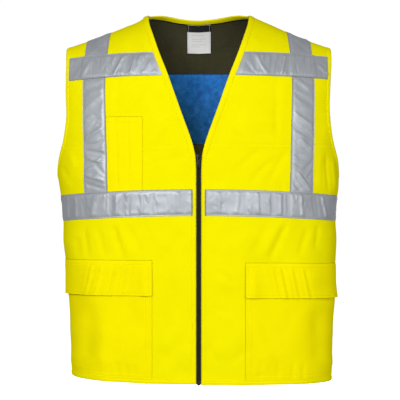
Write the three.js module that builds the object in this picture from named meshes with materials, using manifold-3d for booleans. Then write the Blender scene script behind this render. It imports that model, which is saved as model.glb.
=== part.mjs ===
// A sleeveless high-visibility cooling vest, shown as worn: two front panels and a back panel,
// bound edges, reflective tape, a front zip, patch pockets, and inside the back a mesh lining, a
// blue cooling panel and the neck label. Millimetres, +Z up, the wearer faces -Y, and x is
// positive on the wearer's left. The origin lies between the two points where the shoulder
// seams meet the neck.
import * as THREE from "three";
import { mergeVertices } from "three/addons/utils/BufferGeometryUtils.js";
import Module from "manifold-3d";

const wasm = await Module();
wasm.setup();

// Overall shape.
const BODY_LENGTH = 714; // neck point down to the hem at the front
const CHEST_HALF_WIDTH = 278; // side seam at the underarm
const FRONT_DEPTH = 142; // zip in front of the side seams
const BACK_DEPTH = 128; // back behind the side seams
const SECTION_ROUND = 2.6; // exponent of the section across the body: 2 is an ellipse
const NECK_HALF_WIDTH = 99; // neck point from the middle
const BACK_BINDING_DROP = 6.5; // lower edge of the binding below the back neck
const TIP_INSIDE_CHEST = 16; // shoulder's tip in from the side seam's width
const SHOULDER_DROP = 66; // tip below the neck point
const FRONT_OVER = 150; // height in which the front turns over the shoulder
const BACK_OVER = 95; // the same for the back
const ARMHOLE_HEIGHT = 249; // shoulder tip down to the underarm
const ARMHOLE_TURN = 8; // height in which its edge turns under the arm
const V_ABOVE_UNDERARM = 37; // bottom of the neck's V above the underarm

// Cloth.
const SHELL = 1.5; // outer fabric
const LINING = 1;
const TAPE = 1; // reflective tape
const POCKET_CLOTH = 1.2;
const GAP = 0.3; // between pieces that touch
const BINDING_PROUD = 0.8; // bound edge above the panel, on each face
const NECK_BINDING = 12;
const ARMHOLE_BINDING = 9;
const HEM_BINDING = 9;

// Reflective tape.
const TAPE_WIDTH = 50;
const WAIST_TAPE_BELOW_UNDERARM = 41;
const WAIST_TAPE_RISE = 11.5; // middle of the front above the sides
const CHEST_TAPE_TOP = 81; // below the neck points
const CHEST_TAPE_HEIGHT = 46; // seen from the front: the chest slopes there
const CHEST_TAPE_DROOP = 9; // outer ends below the inner ones
const LEFT_CHEST_HIGHER = 4;
const SHOULDER_TAPE_IN_FROM_TIP = 84; // inner edge in from the shoulder's tip
const SHOULDER_TAPE_LEAN = 8; // inner edge further in at the shoulder than at the chest

// Cooling panel, mesh and label.
const COOLING_HEIGHT = 144;
const COOLING_THICK = 4;
const COOLING_ABOVE_V = 29; // lower edge above the bottom of the V
const CHEST_SEAM_ABOVE_V = 16;
const LABEL_WIDTH = 48;
const LABEL_LENGTH = 55;
const LABEL_BAND = 12.5;
const LABEL_THICK = 0.8;
const LABEL_OFF_MIDDLE = 0.5;
const LABEL_STANDS_OFF = 2.5; // free end off the lining
const LABEL_BELOW_BINDING = 0.3;

// Pockets.
const FLAP_BELOW_WAIST_TAPE = 73;
const FLAP_HEIGHT = 67;
const FLAP_FLARE = 2; // lower edge off the pocket
const FLAP_CORNER_FLARE = 1.5; // more at the outer corner
const POCKET_FROM_MIDDLE = 88;
const POCKET_TO_SIDE_SEAM = 22;
const LEFT_FLAP_LOWER = 8.5; // the left side hangs lower than the right: at the side seam
const LEFT_FLAP_MIDDLE_LOWER = 4; // and beside the zip
const LEFT_HEM_LOWER = 12.5;
const LEFT_HEM_MIDDLE_LOWER = 1.5;
const HEM_SIDE_RISE = 8; // hem at the right side seam above the middle
const PEN_POCKET_WIDTH = 72;
const PEN_POCKET_HEIGHT = 150;

// Zip.
const ZIP_SLOT = 9.6; // between the two front edges
const ZIP_TOP_SPREAD = 3.6; // slot wider at the top of the zip, where the slider stands
const ZIP_SPREAD_LENGTH = 34;
const ZIP_FACING = 8; // stitched edge beside the zip
const ZIP_TAPE = 0.9;
const CHAIN_WIDTH = 5.4;
const CHAIN_THICK = 2.2;
const SLIDER_WIDTH = 9;
const SLIDER_LENGTH = 12;
const SLIDER_PROUD = 2.6; // face of the slider in front of the chain
const SLIDER_BELOW_V = 0.5; // top of the slider below the V
const PULL_LENGTH = 22;
const PULL_WIDTH = 6.6;
const PULL_THICK = 1.2;
const BRIDGE_SPAN = 4.4; // inside the bridge that holds the pull, along the zip
const BRIDGE_BAR = 1.2;
const BRIDGE_WIDTH = 2;
const PULL_EYE_WIDTH = 3.4;
const PULL_EYE_LENGTH = 5.2;
const ZIP_BOX_BELOW_HEM = 2.5;
const SLIDER_SIDES = 1.8; // depth of its sides behind the chain's face
const BRIDGE_BELOW_TOP = 1;
const PULL_PLAY = 0.3; // more than the gap behind the pull

const V_BOTTOM = -(SHOULDER_DROP + ARMHOLE_HEIGHT - V_ABOVE_UNDERARM);
const UNDERARM = -(SHOULDER_DROP + ARMHOLE_HEIGHT);
const TIP_X = CHEST_HALF_WIDTH - TIP_INSIDE_CHEST;
const SHOULDER_TAPE_FROM_MIDDLE = TIP_X - SHOULDER_TAPE_IN_FROM_TIP;
const PEN_POCKET_FROM_MIDDLE = SHOULDER_TAPE_FROM_MIDDLE - PEN_POCKET_WIDTH;

// The line of the shoulders, carried on over the neck. out runs from -1 at the middle to 0 at
// the neck point and 1 at the tip, and right and left are shares of the tip's drop below the
// neck points.
const SHOULDERS = [
  { out: -1, right: -0.38, left: -0.38 },
  { out: -0.58, right: -0.33, left: -0.33 },
  { out: -0.21, right: -0.17, left: -0.15 },
  { out: 0, right: 0, left: 0 },
  { out: 0.13, right: 0.2, left: 0.14 },
  { out: 0.28, right: 0.35, left: 0.3 },
  { out: 0.44, right: 0.51, left: 0.48 },
  { out: 0.6, right: 0.67, left: 0.665 },
  { out: 0.76, right: 0.8, left: 0.8 },
  { out: 1, right: 1, left: 1 },
  { out: 1.16, right: 1.15, left: 1.15 },
];

// The back neck. out is a share of the neck point's distance from the middle, and rise is the
// height above the neck points, as a share of the same distance.
const NAPE = [
  { out: 0, rise: -0.008 },
  { out: 0.31, rise: 0.013 },
  { out: 0.52, rise: 0.04 },
  { out: 0.68, rise: 0.053 },
  { out: 0.84, rise: 0.042 },
  { out: 1, rise: 0 },
];

// Body section at several heights. down is a share of the body's length, the half widths are
// shares of the chest's, and the depths are shares of the front's and the back's.
const SECTIONS = [
  { down: -0.06, right: 1.13, left: 1.13, front: 0.8, back: 0.8 },
  { down: 0.05, right: 1.1, left: 1.1, front: 0.84, back: 0.85 },
  { down: 0.14, right: 1.03, left: 1.03, front: 0.91, back: 0.94 },
  { down: 0.24, right: 1, left: 1, front: 0.96, back: 1 },
  { down: 0.33, right: 1, left: 0.993, front: 0.99, back: 1 },
  { down: 0.43, right: 0.998, left: 0.99, front: 1, back: 0.97 },
  { down: 0.48, right: 0.981, left: 0.987, front: 1, back: 0.95 },
  { down: 0.525, right: 0.964, left: 0.969, front: 1, back: 0.94 },
  { down: 0.57, right: 0.958, left: 0.968, front: 0.99, back: 0.93 },
  { down: 0.62, right: 0.957, left: 0.975, front: 0.99, back: 0.935 },
  { down: 0.7, right: 0.934, left: 0.965, front: 0.99, back: 0.945 },
  { down: 0.79, right: 0.915, left: 0.958, front: 0.98, back: 0.96 },
  { down: 0.88, right: 0.906, left: 0.946, front: 0.98, back: 0.98 },
  { down: 1.02, right: 0.896, left: 0.938, front: 0.97, back: 1 },
];

// The neck's front edge: up is a share of the height from the V to the neck points, and out a
// share of the distance from the zip to the neck point.
const NECK_EDGE = [
  { up: 0, out: 0 },
  { up: 0.07, out: 0.05 },
  { up: 0.165, out: 0.146 },
  { up: 0.28, out: 0.274 },
  { up: 0.556, out: 0.569 },
  { up: 0.7, out: 0.738 },
  { up: 0.825, out: 0.868 },
  { up: 0.925, out: 0.964 },
  { up: 1, out: 1 },
];

// The armhole's edge from the underarm to the shoulder's tip. right and left are shares of the
// distance between the side seam's width and the tip's.
const ARMHOLE_EDGE = [
  { up: 0, right: 0, left: 0 },
  { up: 0.09, right: 0.22, left: 0.22 },
  { up: 0.16, right: 0.47, left: 0.56 },
  { up: 0.27, right: 1, left: 1.16 },
  { up: 0.4, right: 1.36, left: 1.62 },
  { up: 0.55, right: 1.44, left: 1.7 },
  { up: 0.77, right: 1.25, left: 1.4 },
  { up: 0.9, right: 1.17, left: 1.2 },
  { up: 1, right: 1.08, left: 1.08 },
];

// Hanging folds, between the middle and the side seam. x and wide are shares of the half width,
// down runs from and to shares of the length, lean is the sideways run from top to bottom as a
// share of the half width, and rise is a share of the front's or the back's depth.
const FOLDS = [
  { face: -1, x: -0.8, from: 0.57, to: 1.2, lean: 0.07, wide: 0.09, rise: 0.025 },
  { face: -1, x: -0.6, from: 0.56, to: 0.95, lean: 0.11, wide: 0.1, rise: -0.025 },
  { face: -1, x: -0.36, from: 0.62, to: 1.2, lean: -0.07, wide: 0.115, rise: 0.021 },
  { face: -1, x: 0.3, from: 0.6, to: 1.2, lean: 0.06, wide: 0.12, rise: 0.021 },
  { face: -1, x: 0.58, from: 0.56, to: 0.95, lean: -0.11, wide: 0.1, rise: -0.025 },
  { face: -1, x: 0.82, from: 0.56, to: 1.2, lean: -0.07, wide: 0.09, rise: 0.025 },
  { face: -1, x: -0.93, from: 0.34, to: 0.64, lean: 0.04, wide: 0.09, rise: -0.021 },
  { face: -1, x: 0.93, from: 0.34, to: 0.64, lean: -0.04, wide: 0.09, rise: -0.021 },
  { face: 1, x: -0.7, from: 0.5, to: 1.2, lean: 0.08, wide: 0.13, rise: 0.031 },
  { face: 1, x: -0.38, from: 0.55, to: 1.2, lean: 0.04, wide: 0.13, rise: -0.031 },
  { face: 1, x: -0.05, from: 0.5, to: 1.2, lean: -0.04, wide: 0.145, rise: 0.031 },
  { face: 1, x: 0.34, from: 0.55, to: 1.2, lean: -0.04, wide: 0.13, rise: -0.031 },
  { face: 1, x: 0.68, from: 0.5, to: 1.2, lean: -0.08, wide: 0.13, rise: 0.031 },
];
const FOLD_FADE = 0.15; // share of the length in which a fold rises or dies away

const lerp = THREE.MathUtils.lerp;
const clamp = THREE.MathUtils.clamp;
const smooth = (t) => THREE.MathUtils.smoothstep(t, 0, 1);

// A smooth value from a table: key names the column that is looked up, and value the one given.
function fromTable(table, key, value, at) {
  const last = table.length - 1;
  const next = table.findIndex((row) => row[key] >= at);
  if (next <= 0) return next === 0 ? table[0][value] : table[last][value];
  const [a, b] = [table[next - 1], table[next]];
  const slope = (p, q) => (q[value] - p[value]) / (q[key] - p[key]);
  const span = b[key] - a[key];
  const along = (at - a[key]) / span;
  const before = slope(table[Math.max(next - 2, 0)], b);
  const after = slope(a, table[Math.min(next + 1, last)]);
  const [s, s2, s3] = [along, along ** 2, along ** 3];
  return (
    (2 * s3 - 3 * s2 + 1) * a[value] +
    (s3 - 2 * s2 + s) * span * before +
    (-2 * s3 + 3 * s2) * b[value] +
    (s3 - s2) * span * after
  );
}

// The body's form: face is -1 for the front and 1 for the back, side is -1 for the right.

const halfWidth = (z, side) =>
  CHEST_HALF_WIDTH * fromTable(SECTIONS, "down", side < 0 ? "right" : "left", -z / BODY_LENGTH);

function shoulderLine(x) {
  const past = Math.abs(x) - NECK_HALF_WIDTH;
  const out = past / (past < 0 ? NECK_HALF_WIDTH : TIP_X - NECK_HALF_WIDTH);
  return -SHOULDER_DROP * fromTable(SHOULDERS, "out", x < 0 ? "right" : "left", out);
}

function foldRise(x, z, face) {
  const down = -z / BODY_LENGTH;
  const out = x / halfWidth(z, Math.sign(x) || 1);
  const depth = face < 0 ? FRONT_DEPTH : BACK_DEPTH;
  return FOLDS.filter((f) => f.face === face && down > f.from && down < f.to).reduce((sum, f) => {
    const along = (down - f.from) / (f.to - f.from);
    const off = (out - f.x - f.lean * along) / f.wide;
    const ends = smooth((down - f.from) / FOLD_FADE) * smooth((f.to - down) / FOLD_FADE);
    return sum + depth * f.rise * ends * Math.exp(-off * off);
  }, 0);
}

function depthAt(x, z, face) {
  const side = Math.sign(x) || 1;
  const across = clamp(Math.abs(x) / halfWidth(z, side), 0, 1);
  const section = (1 - across ** SECTION_ROUND) ** (1 / SECTION_ROUND);
  const [full, over, column] = face < 0 ? [FRONT_DEPTH, FRONT_OVER, "front"] : [BACK_DEPTH, BACK_OVER, "back"];
  const turn = clamp((shoulderLine(x) - z) / over, 0, 1);
  const share = fromTable(SECTIONS, "down", column, -z / BODY_LENGTH);
  const flat = full * share * section * Math.sqrt(1 - (1 - turn) ** 2);
  return face * (flat + foldRise(x, z, face) * section);
}

// How far round the section a point lies: 0 at the middle of the front, 1 at the side seam.
const roundOf = (x, z) =>
  Math.asin(clamp(Math.abs(x) / halfWidth(z, Math.sign(x) || 1), 0, 1) ** (SECTION_ROUND / 2)) / (Math.PI / 2);
const xOfRound = (round, z, side) =>
  side * halfWidth(z, side) * Math.sin((round * Math.PI) / 2) ** (2 / SECTION_ROUND);

// A row runs across the body. It gives z for each x: the height at the side seam, the rise in
// the middle of the front and of the back, and how much lower the left half is, at the side
// and beside the zip.
function rowAt(row, x, face) {
  const level = row.side - (x > 0 ? row.left : 0);
  const middle = row.side + (face < 0 ? row.front - (x > 0 ? row.leftMiddle : 0) : row.back);
  const out = clamp(Math.abs(x) / CHEST_HALF_WIDTH, 0, 1) ** 2;
  return lerp(middle, level, out);
}

const onBody = (x, z, face) => new THREE.Vector3(x, depthAt(x, z, face), z);

// Steps along a row from x by a distance over the cloth, towards the side when it is positive.
function stepRound(x, distance, zOf, face) {
  const side = Math.sign(x) || 1;
  const start = onBody(x, zOf(x), face);
  const here = roundOf(x, zOf(x));
  let [near, far] = distance > 0 ? [here, 1] : [here, 0];
  for (let n = 0; n < 30; n++) {
    const half = (near + far) / 2;
    const at = xOfRound(half, zOf(x), side);
    const reached = onBody(at, zOf(at), face).distanceTo(start) > Math.abs(distance);
    if (reached) far = half;
    else near = half;
  }
  return xOfRound(near, zOf(x), side);
}

// Named rows, from the hem up. Each has a height at the side seam and a rise in the middle.
const WAIST_TAPE_TOP = UNDERARM - WAIST_TAPE_BELOW_UNDERARM;
const WAIST_TAPE_BOTTOM = WAIST_TAPE_TOP - TAPE_WIDTH;
const FLAP_TOP = WAIST_TAPE_BOTTOM - FLAP_BELOW_WAIST_TAPE;
const FLAP_BOTTOM = FLAP_TOP - FLAP_HEIGHT;
const CHEST_TAPE_SIDE = -CHEST_TAPE_TOP - CHEST_TAPE_DROOP;
const COOLING_BOTTOM = V_BOTTOM + COOLING_ABOVE_V;
const COOLING_TOP = COOLING_BOTTOM + COOLING_HEIGHT;
const row = (side, front, back, left = 0, leftMiddle = 0) => ({ side, front, back, left, leftMiddle });
const between = (a, b, share) => ({
  side: lerp(a.side, b.side, share),
  front: lerp(a.front, b.front, share),
  back: lerp(a.back, b.back, share),
  left: lerp(a.left, b.left, share),
  leftMiddle: lerp(a.leftMiddle, b.leftMiddle, share),
});
const hemRow = (up) =>
  row(HEM_SIDE_RISE - BODY_LENGTH + up, -HEM_SIDE_RISE, -HEM_SIDE_RISE, LEFT_HEM_LOWER, LEFT_HEM_MIDDLE_LOWER);
const LEVEL = {
  hem: hemRow(0),
  hemTop: hemRow(HEM_BINDING),
  flapBottom: row(FLAP_BOTTOM, 0, 0, LEFT_FLAP_LOWER, LEFT_FLAP_MIDDLE_LOWER),
  flapTop: row(FLAP_TOP, 0, 0, LEFT_FLAP_LOWER, LEFT_FLAP_MIDDLE_LOWER),
  waistBottom: row(WAIST_TAPE_BOTTOM, WAIST_TAPE_RISE, WAIST_TAPE_RISE / 2),
  waistTop: row(WAIST_TAPE_TOP, WAIST_TAPE_RISE, WAIST_TAPE_RISE / 2),
  underBinding: row(UNDERARM - ARMHOLE_BINDING, WAIST_TAPE_RISE / 2, WAIST_TAPE_RISE / 3),
  underarm: row(UNDERARM, WAIST_TAPE_RISE / 2, WAIST_TAPE_RISE / 3),
  armholeTurn: row(UNDERARM + ARMHOLE_TURN, WAIST_TAPE_RISE / 2, WAIST_TAPE_RISE / 3),
  vBottom: row(V_BOTTOM - WAIST_TAPE_RISE / 2, WAIST_TAPE_RISE / 2, 0),
  chestSeam: row(V_BOTTOM + CHEST_SEAM_ABOVE_V, 0, 0),
  penTop: row(WAIST_TAPE_TOP + PEN_POCKET_HEIGHT, 0, 0),
  chestBottom: row(CHEST_TAPE_SIDE - CHEST_TAPE_HEIGHT, CHEST_TAPE_DROOP, 0, -LEFT_CHEST_HIGHER),
  chestTop: row(CHEST_TAPE_SIDE, CHEST_TAPE_DROOP, 0, -LEFT_CHEST_HIGHER),
  coolingBottom: row(COOLING_BOTTOM, 0, 0),
  backTapeBottom: row(COOLING_TOP - TAPE_WIDTH, 0, 0),
  coolingTop: row(COOLING_TOP, 0, 0),
};

// Lays rows out: each stop is a named row and the number of cells up to it.
function layRows(stops) {
  const rows = [];
  const index = {};
  stops.forEach(([name, cells], n) => {
    for (let k = 1; n > 0 && k < cells; k++) {
      rows.push(between(LEVEL[stops[n - 1][0]], LEVEL[name], k / cells));
    }
    index[name] = rows.length;
    rows.push(LEVEL[name]);
  });
  return { rows, index };
}

const FRONT_ROWS = layRows([
  ["hem", 0],
  ["hemTop", 1],
  ["flapBottom", 4],
  ["flapTop", 3],
  ["waistBottom", 2],
  ["waistTop", 2],
  ["underBinding", 1],
  ["underarm", 1],
  ["armholeTurn", 1],
  ["vBottom", 1],
  ["chestSeam", 1],
  ["penTop", 2],
  ["chestBottom", 2],
  ["chestTop", 2],
]);
const BACK_ROWS = layRows([
  ["hem", 0],
  ["hemTop", 1],
  ["flapBottom", 2],
  ["waistBottom", 3],
  ["waistTop", 2],
  ["underBinding", 1],
  ["underarm", 1],
  ["armholeTurn", 1],
  ["coolingBottom", 2],
  ["backTapeBottom", 2],
  ["coolingTop", 2],
]);
const FRONT_TOP_CELLS = 4; // from the chest tape to the shoulder
const BACK_TOP_CELLS = 3; // from the cooling panel to the shoulder or the neck
const TOP_EASE = 1.6; // packs these rows towards the shoulder, where the cloth turns over
const SEAM_REACH = 1; // a point this near the underarm belongs to it
const NECK_SPACING_HEIGHT = 200; // above the underarm: the back's columns reach the neck's spacing
const NECK_CORNER = 8; // exponent: how late the bound line turns up to the shoulder

// Edges of the cloth, as distances from the middle, at a height.
const zipEdge = ZIP_SLOT / 2;
function frontEdge(z) {
  const up = clamp(1 - z / V_BOTTOM, 0, 1);
  const spread = clamp(1 + (z - V_BOTTOM) / ZIP_SPREAD_LENGTH, 0, 1) ** 2;
  const slot = zipEdge + (ZIP_TOP_SPREAD * spread) / 2;
  return lerp(slot, NECK_HALF_WIDTH, fromTable(NECK_EDGE, "up", "out", up));
}
function sideEdge(z, side) {
  const seam = halfWidth(Math.min(z, UNDERARM), side);
  const up = clamp((z - UNDERARM) / ARMHOLE_HEIGHT, 0, 1);
  return z <= UNDERARM ? seam : lerp(seam, TIP_X, fromTable(ARMHOLE_EDGE, "up", side < 0 ? "right" : "left", up));
}
const napeLine = (x) => NECK_HALF_WIDTH * fromTable(NAPE, "out", "rise", Math.abs(x) / NECK_HALF_WIDTH);

// x on a row whose height depends on x: follows an edge that is given by height.
function meetEdge(edge, zOf, side) {
  let x = side * edge(zOf(side * NECK_HALF_WIDTH));
  for (let n = 0; n < 12; n++) x = side * edge(zOf(x));
  return x;
}

const tapeInner = (z) => {
  const lean = SHOULDER_TAPE_LEAN * clamp(1 + z / (CHEST_TAPE_TOP + CHEST_TAPE_HEIGHT), 0, 1);
  return SHOULDER_TAPE_FROM_MIDDLE - lean - SHOULDER_TAPE_LEAN * clamp(z / UNDERARM - 0.5, 0, 1);
};

// Splits a stretch into cells: gives the points after the first.
const split = (from, to, cells, at) =>
  Array.from({ length: cells }, (_, k) => at(lerp(from, to, (k + 1) / cells)));

// x of each column of a front row, from the zip or the neck to the side.
const FRONT_CELLS = { inner: 3, pocket: 3, tape: 2, flank: 4 };
const FRONT_COLUMN = { edge: 0, binding: 1, pocket: 4, tapeIn: 7, tapeOut: 9, sideIn: 13, side: 14 };
function frontColumns(zOf, side) {
  const edge = meetEdge(frontEdge, zOf, side);
  const level = zOf(side * SHOULDER_TAPE_FROM_MIDDLE);
  const bound = stepRound(edge, level > V_BOTTOM ? NECK_BINDING : ZIP_FACING, zOf, -1);
  const tapeIn = side * tapeInner(level);
  const tapeOut = stepRound(tapeIn, TAPE_WIDTH, zOf, -1);
  const pocketShare = smooth((level - FLAP_TOP) / (WAIST_TAPE_TOP - FLAP_TOP));
  const pocketLine = lerp(POCKET_FROM_MIDDLE, PEN_POCKET_FROM_MIDDLE, pocketShare);
  const aboveV = smooth((level - V_BOTTOM) / -V_BOTTOM);
  const middle = lerp(side * pocketLine, (bound + tapeIn) / 2, aboveV);
  const sideX = meetEdge((z) => sideEdge(z, side), zOf, side);
  const inset = zOf(sideX) > UNDERARM - SEAM_REACH ? ARMHOLE_BINDING : POCKET_TO_SIDE_SEAM;
  const sideIn = stepRound(sideX, -inset, zOf, -1);
  const flank = (round) => xOfRound(round, zOf(tapeOut), side);
  return [
    edge,
    bound,
    ...split(bound, middle, FRONT_CELLS.inner, (x) => x),
    ...split(middle, tapeIn, FRONT_CELLS.pocket, (x) => x),
    ...split(tapeIn, tapeOut, FRONT_CELLS.tape, (x) => x),
    ...split(roundOf(tapeOut, zOf(tapeOut)), roundOf(sideIn, zOf(tapeOut)), FRONT_CELLS.flank, flank).slice(0, -1),
    sideIn,
    sideX,
  ];
}

// x of each column of half a back row, from the middle to the side.
const BACK_CELLS = { inner: 6, tape: 2, flank: 3 };
const BACK_COLUMN = { tapeIn: 6, tapeOut: 8, sideIn: 11, side: 12 };
const NECK_COLUMN = 4; // the column that meets the neck point
const boundNeck = (side) => stepRound(side * NECK_HALF_WIDTH, NECK_BINDING, shoulderLine, 1);
function backColumns(zOf, side, height) {
  const tapeIn = side * tapeInner(zOf(side * SHOULDER_TAPE_FROM_MIDDLE));
  const tapeOut = stepRound(tapeIn, TAPE_WIDTH, zOf, 1);
  const even = (NECK_COLUMN / BACK_CELLS.inner) * tapeIn;
  const neck = lerp(even, boundNeck(side), height);
  const rounded = (x) => lerp(x, neck * Math.sin((x / neck) * (Math.PI / 2)), height);
  const sideX = meetEdge((z) => sideEdge(z, side), zOf, side);
  const inset = zOf(sideX) > UNDERARM - SEAM_REACH ? ARMHOLE_BINDING : POCKET_TO_SIDE_SEAM;
  const sideIn = stepRound(sideX, -inset, zOf, 1);
  const flank = (round) => xOfRound(round, zOf(tapeOut), side);
  return [
    ...split(0, neck, NECK_COLUMN, rounded),
    ...split(neck, tapeIn, BACK_CELLS.inner - NECK_COLUMN, (x) => x),
    ...split(tapeIn, tapeOut, BACK_CELLS.tape, (x) => x),
    ...split(roundOf(tapeOut, zOf(tapeOut)), roundOf(sideIn, zOf(tapeOut)), BACK_CELLS.flank, flank).slice(0, -1),
    sideIn,
    sideX,
  ];
}

// The cloth runs on over the side seams and the shoulder seams.
function seamNormal({ x, z }) {
  const side = Math.sign(x);
  const slope = (f, at) => f(at + 0.5) - f(at - 0.5);
  const atSide = z < UNDERARM + SEAM_REACH;
  const normal = atSide ? [side, 0, -slope((h) => halfWidth(h, side), z)] : [-slope(shoulderLine, x), 0, 1];
  return new THREE.Vector3(...normal).normalize();
}

// A lattice is rows of points on the body with a normal at each. All layers are cut from it.
function latticeOf(points, face) {
  const at = (j, i) => points[clamp(j, 0, points.length - 1)][clamp(i, 0, points[0].length - 1)];
  return points.map((line, j) =>
    line.map((point, i) => {
      const along = at(j, i + 1).clone().sub(at(j, i - 1));
      const up = at(j + 1, i).clone().sub(at(j - 1, i));
      const normal = along.cross(up).normalize();
      if (normal.y * face < 0) normal.negate();
      return { point, normal: Math.abs(point.y) < 0.01 ? seamNormal(point) : normal };
    }),
  );
}

function frontLattice(side) {
  const { rows } = FRONT_ROWS;
  const chestTop = rows[rows.length - 1];
  const heights = rows.map((r) => (x) => rowAt(r, x, -1));
  for (let k = 1; k <= FRONT_TOP_CELLS; k++) {
    const share = 1 - (1 - k / FRONT_TOP_CELLS) ** TOP_EASE;
    heights.push((x) => lerp(rowAt(chestTop, x, -1), shoulderLine(x), share));
  }
  const points = heights.map((zOf) => frontColumns(zOf, side).map((x) => onBody(x, zOf(x), -1)));
  return latticeOf(points, -1);
}

function backLattice() {
  const { rows } = BACK_ROWS;
  const lastRow = rows[rows.length - 1];
  const neckTop = (x) => {
    const reach = Math.abs(boundNeck(Math.sign(x) || 1));
    const out = Math.abs(x) / reach;
    return lerp(napeLine(out * NECK_HALF_WIDTH) - BACK_BINDING_DROP, shoulderLine(x), Math.min(out, 1) ** NECK_CORNER);
  };
  const heights = rows.map((r) => ({ zOf: (x) => rowAt(r, x, 1), height: smooth((r.side - UNDERARM) / NECK_SPACING_HEIGHT) }));
  for (let k = 1; k <= BACK_TOP_CELLS; k++) {
    const share = 1 - (1 - k / BACK_TOP_CELLS) ** TOP_EASE;
    heights.push({ zOf: (x) => lerp(rowAt(lastRow, x, 1), neckTop(x), share), height: 1 });
  }
  const points = heights.map(({ zOf, height }) => {
    const half = (side) => backColumns(zOf, side, height);
    return [...half(-1).reverse(), 0, ...half(1)].map((x) => onBody(x, zOf(x), 1));
  });
  return latticeOf(points, 1);
}

// Walls that face each other are split along the same diagonal.
const diagonalKey = ({ point }) => point.z + 0.37 * point.x + 0.11 * point.y;

// Turns faces of a lattice into one closed solid between two offsets from the body's form.
// Each face is a list of corners, and corners of one place share one object. The edges draw
// in by half a gap, so that neighbours stay clear of each other.
function sheet(faces, lower, upper) {
  const corners = [...new Set(faces.flat())];
  const number = new Map(corners.map((corner, n) => [corner, n]));
  const edges = new Map();
  for (const f of faces) {
    f.forEach((a, k) => {
      const b = f[(k + 1) % f.length];
      edges.set(`${number.get(a)},${number.get(b)}`, [a, b]);
    });
  }
  const rim = [...edges].filter(([key]) => !edges.has(key.split(",").reverse().join(","))).map(([, e]) => e);
  const inward = new Map();
  for (const [a, b] of rim) {
    for (const corner of [a, b]) {
      const along = b.point.clone().sub(a.point).normalize();
      const aside = corner.normal.clone().cross(along).normalize();
      inward.set(corner, [...(inward.get(corner) ?? []), aside]);
    }
  }
  const places = corners.map((corner) => {
    const sides = inward.get(corner) ?? [];
    const place = corner.point.clone();
    if (sides.length >= 2) {
      const sum = sides[0].clone().add(sides[1]);
      place.addScaledVector(sum, GAP / 2 / Math.max(1 + sides[0].dot(sides[1]), 0.4));
    }
    return place;
  });
  const positions = [];
  const offsetOf = (offset, corner) => (typeof offset === "function" ? offset(corner) : offset);
  for (const offset of [upper, lower]) {
    corners.forEach((corner, n) => {
      const p = places[n].clone().addScaledVector(corner.normal, offsetOf(offset, corner));
      positions.push(p.x, p.y, p.z);
    });
  }
  const indices = [];
  const total = corners.length;
  for (const f of faces) {
    const ids = f.map((corner) => number.get(corner));
    for (let k = 2; k < ids.length; k++) {
      indices.push(ids[0], ids[k - 1], ids[k]);
      indices.push(total + ids[0], total + ids[k], total + ids[k - 1]);
    }
  }
  for (const [a, b] of rim) {
    const [p, q] = [number.get(a), number.get(b)];
    const split = diagonalKey(a) < diagonalKey(b) ? [p, total + p, total + q, p, total + q, q] : null;
    indices.push(...(split ?? [p, total + p, q, q, total + p, total + q]));
  }
  const geometry = new THREE.BufferGeometry();
  geometry.setAttribute("position", new THREE.Float32BufferAttribute(positions, 3));
  geometry.setIndex(indices);
  return geometry;
}

// Faces of a block of lattice cells, with corners in the order that faces outwards.
function cells(lattice, columns, rows, keep = () => true) {
  const faces = [];
  for (let j = rows[0]; j < rows[1]; j++) {
    for (let i = columns[0]; i < columns[1]; i++) {
      if (!keep(i, j)) continue;
      faces.push([lattice[j][i], lattice[j][i + 1], lattice[j + 1][i + 1], lattice[j + 1][i]]);
    }
  }
  return outward(faces);
}
function outward(faces) {
  return faces.map((f) => {
    const [a, b, c] = f.map((corner) => corner.point);
    const normal = b.clone().sub(a).cross(c.clone().sub(a));
    return normal.dot(f[0].normal) < 0 ? [...f].reverse() : f;
  });
}
// A strip between two lines of corners.
const strip = (outer, inner) =>
  outward(outer.slice(1).map((corner, k) => [outer[k], corner, inner[k + 1], inner[k]]));

// Materials: the colours of the real cloth, tape and plastic.
const finish = (color, roughness, metalness = 0) => new THREE.MeshStandardMaterial({ color, roughness, metalness });
const MATERIAL = {
  yellow: finish(0xf4ec00, 0.8),
  yellowTrim: finish(0xfaf000, 0.75),
  silver: finish(0xa9afb5, 0.4, 0.3),
  mesh: finish(0x3a3a2e, 0.9),
  blue: finish(0x1b5590, 0.7),
  black: finish(0x17181a, 0.6),
  zipMetal: finish(0x202124, 0.35, 0.5),
  label: finish(0xe4e5ea, 0.7),
};

const vest = new THREE.Group();
function addPiece(name, geometry, material) {
  const mesh = new THREE.Mesh(geometry, material);
  mesh.name = name;
  vest.add(mesh);
  return mesh;
}

const SIDES = [
  { name: "right", side: -1 },
  { name: "left", side: 1 },
];
const F = { ...FRONT_ROWS.index };
F.shoulder = F.chestTop + FRONT_TOP_CELLS;
const B = { ...BACK_ROWS.index };
B.top = B.coolingTop + BACK_TOP_CELLS;
const backMiddle = BACK_COLUMN.side; // index of the back's middle column
const backColumn = (side, k) => backMiddle + side * k;
const fronts = SIDES.map(({ side }) => frontLattice(side));
const back = backLattice();

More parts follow.
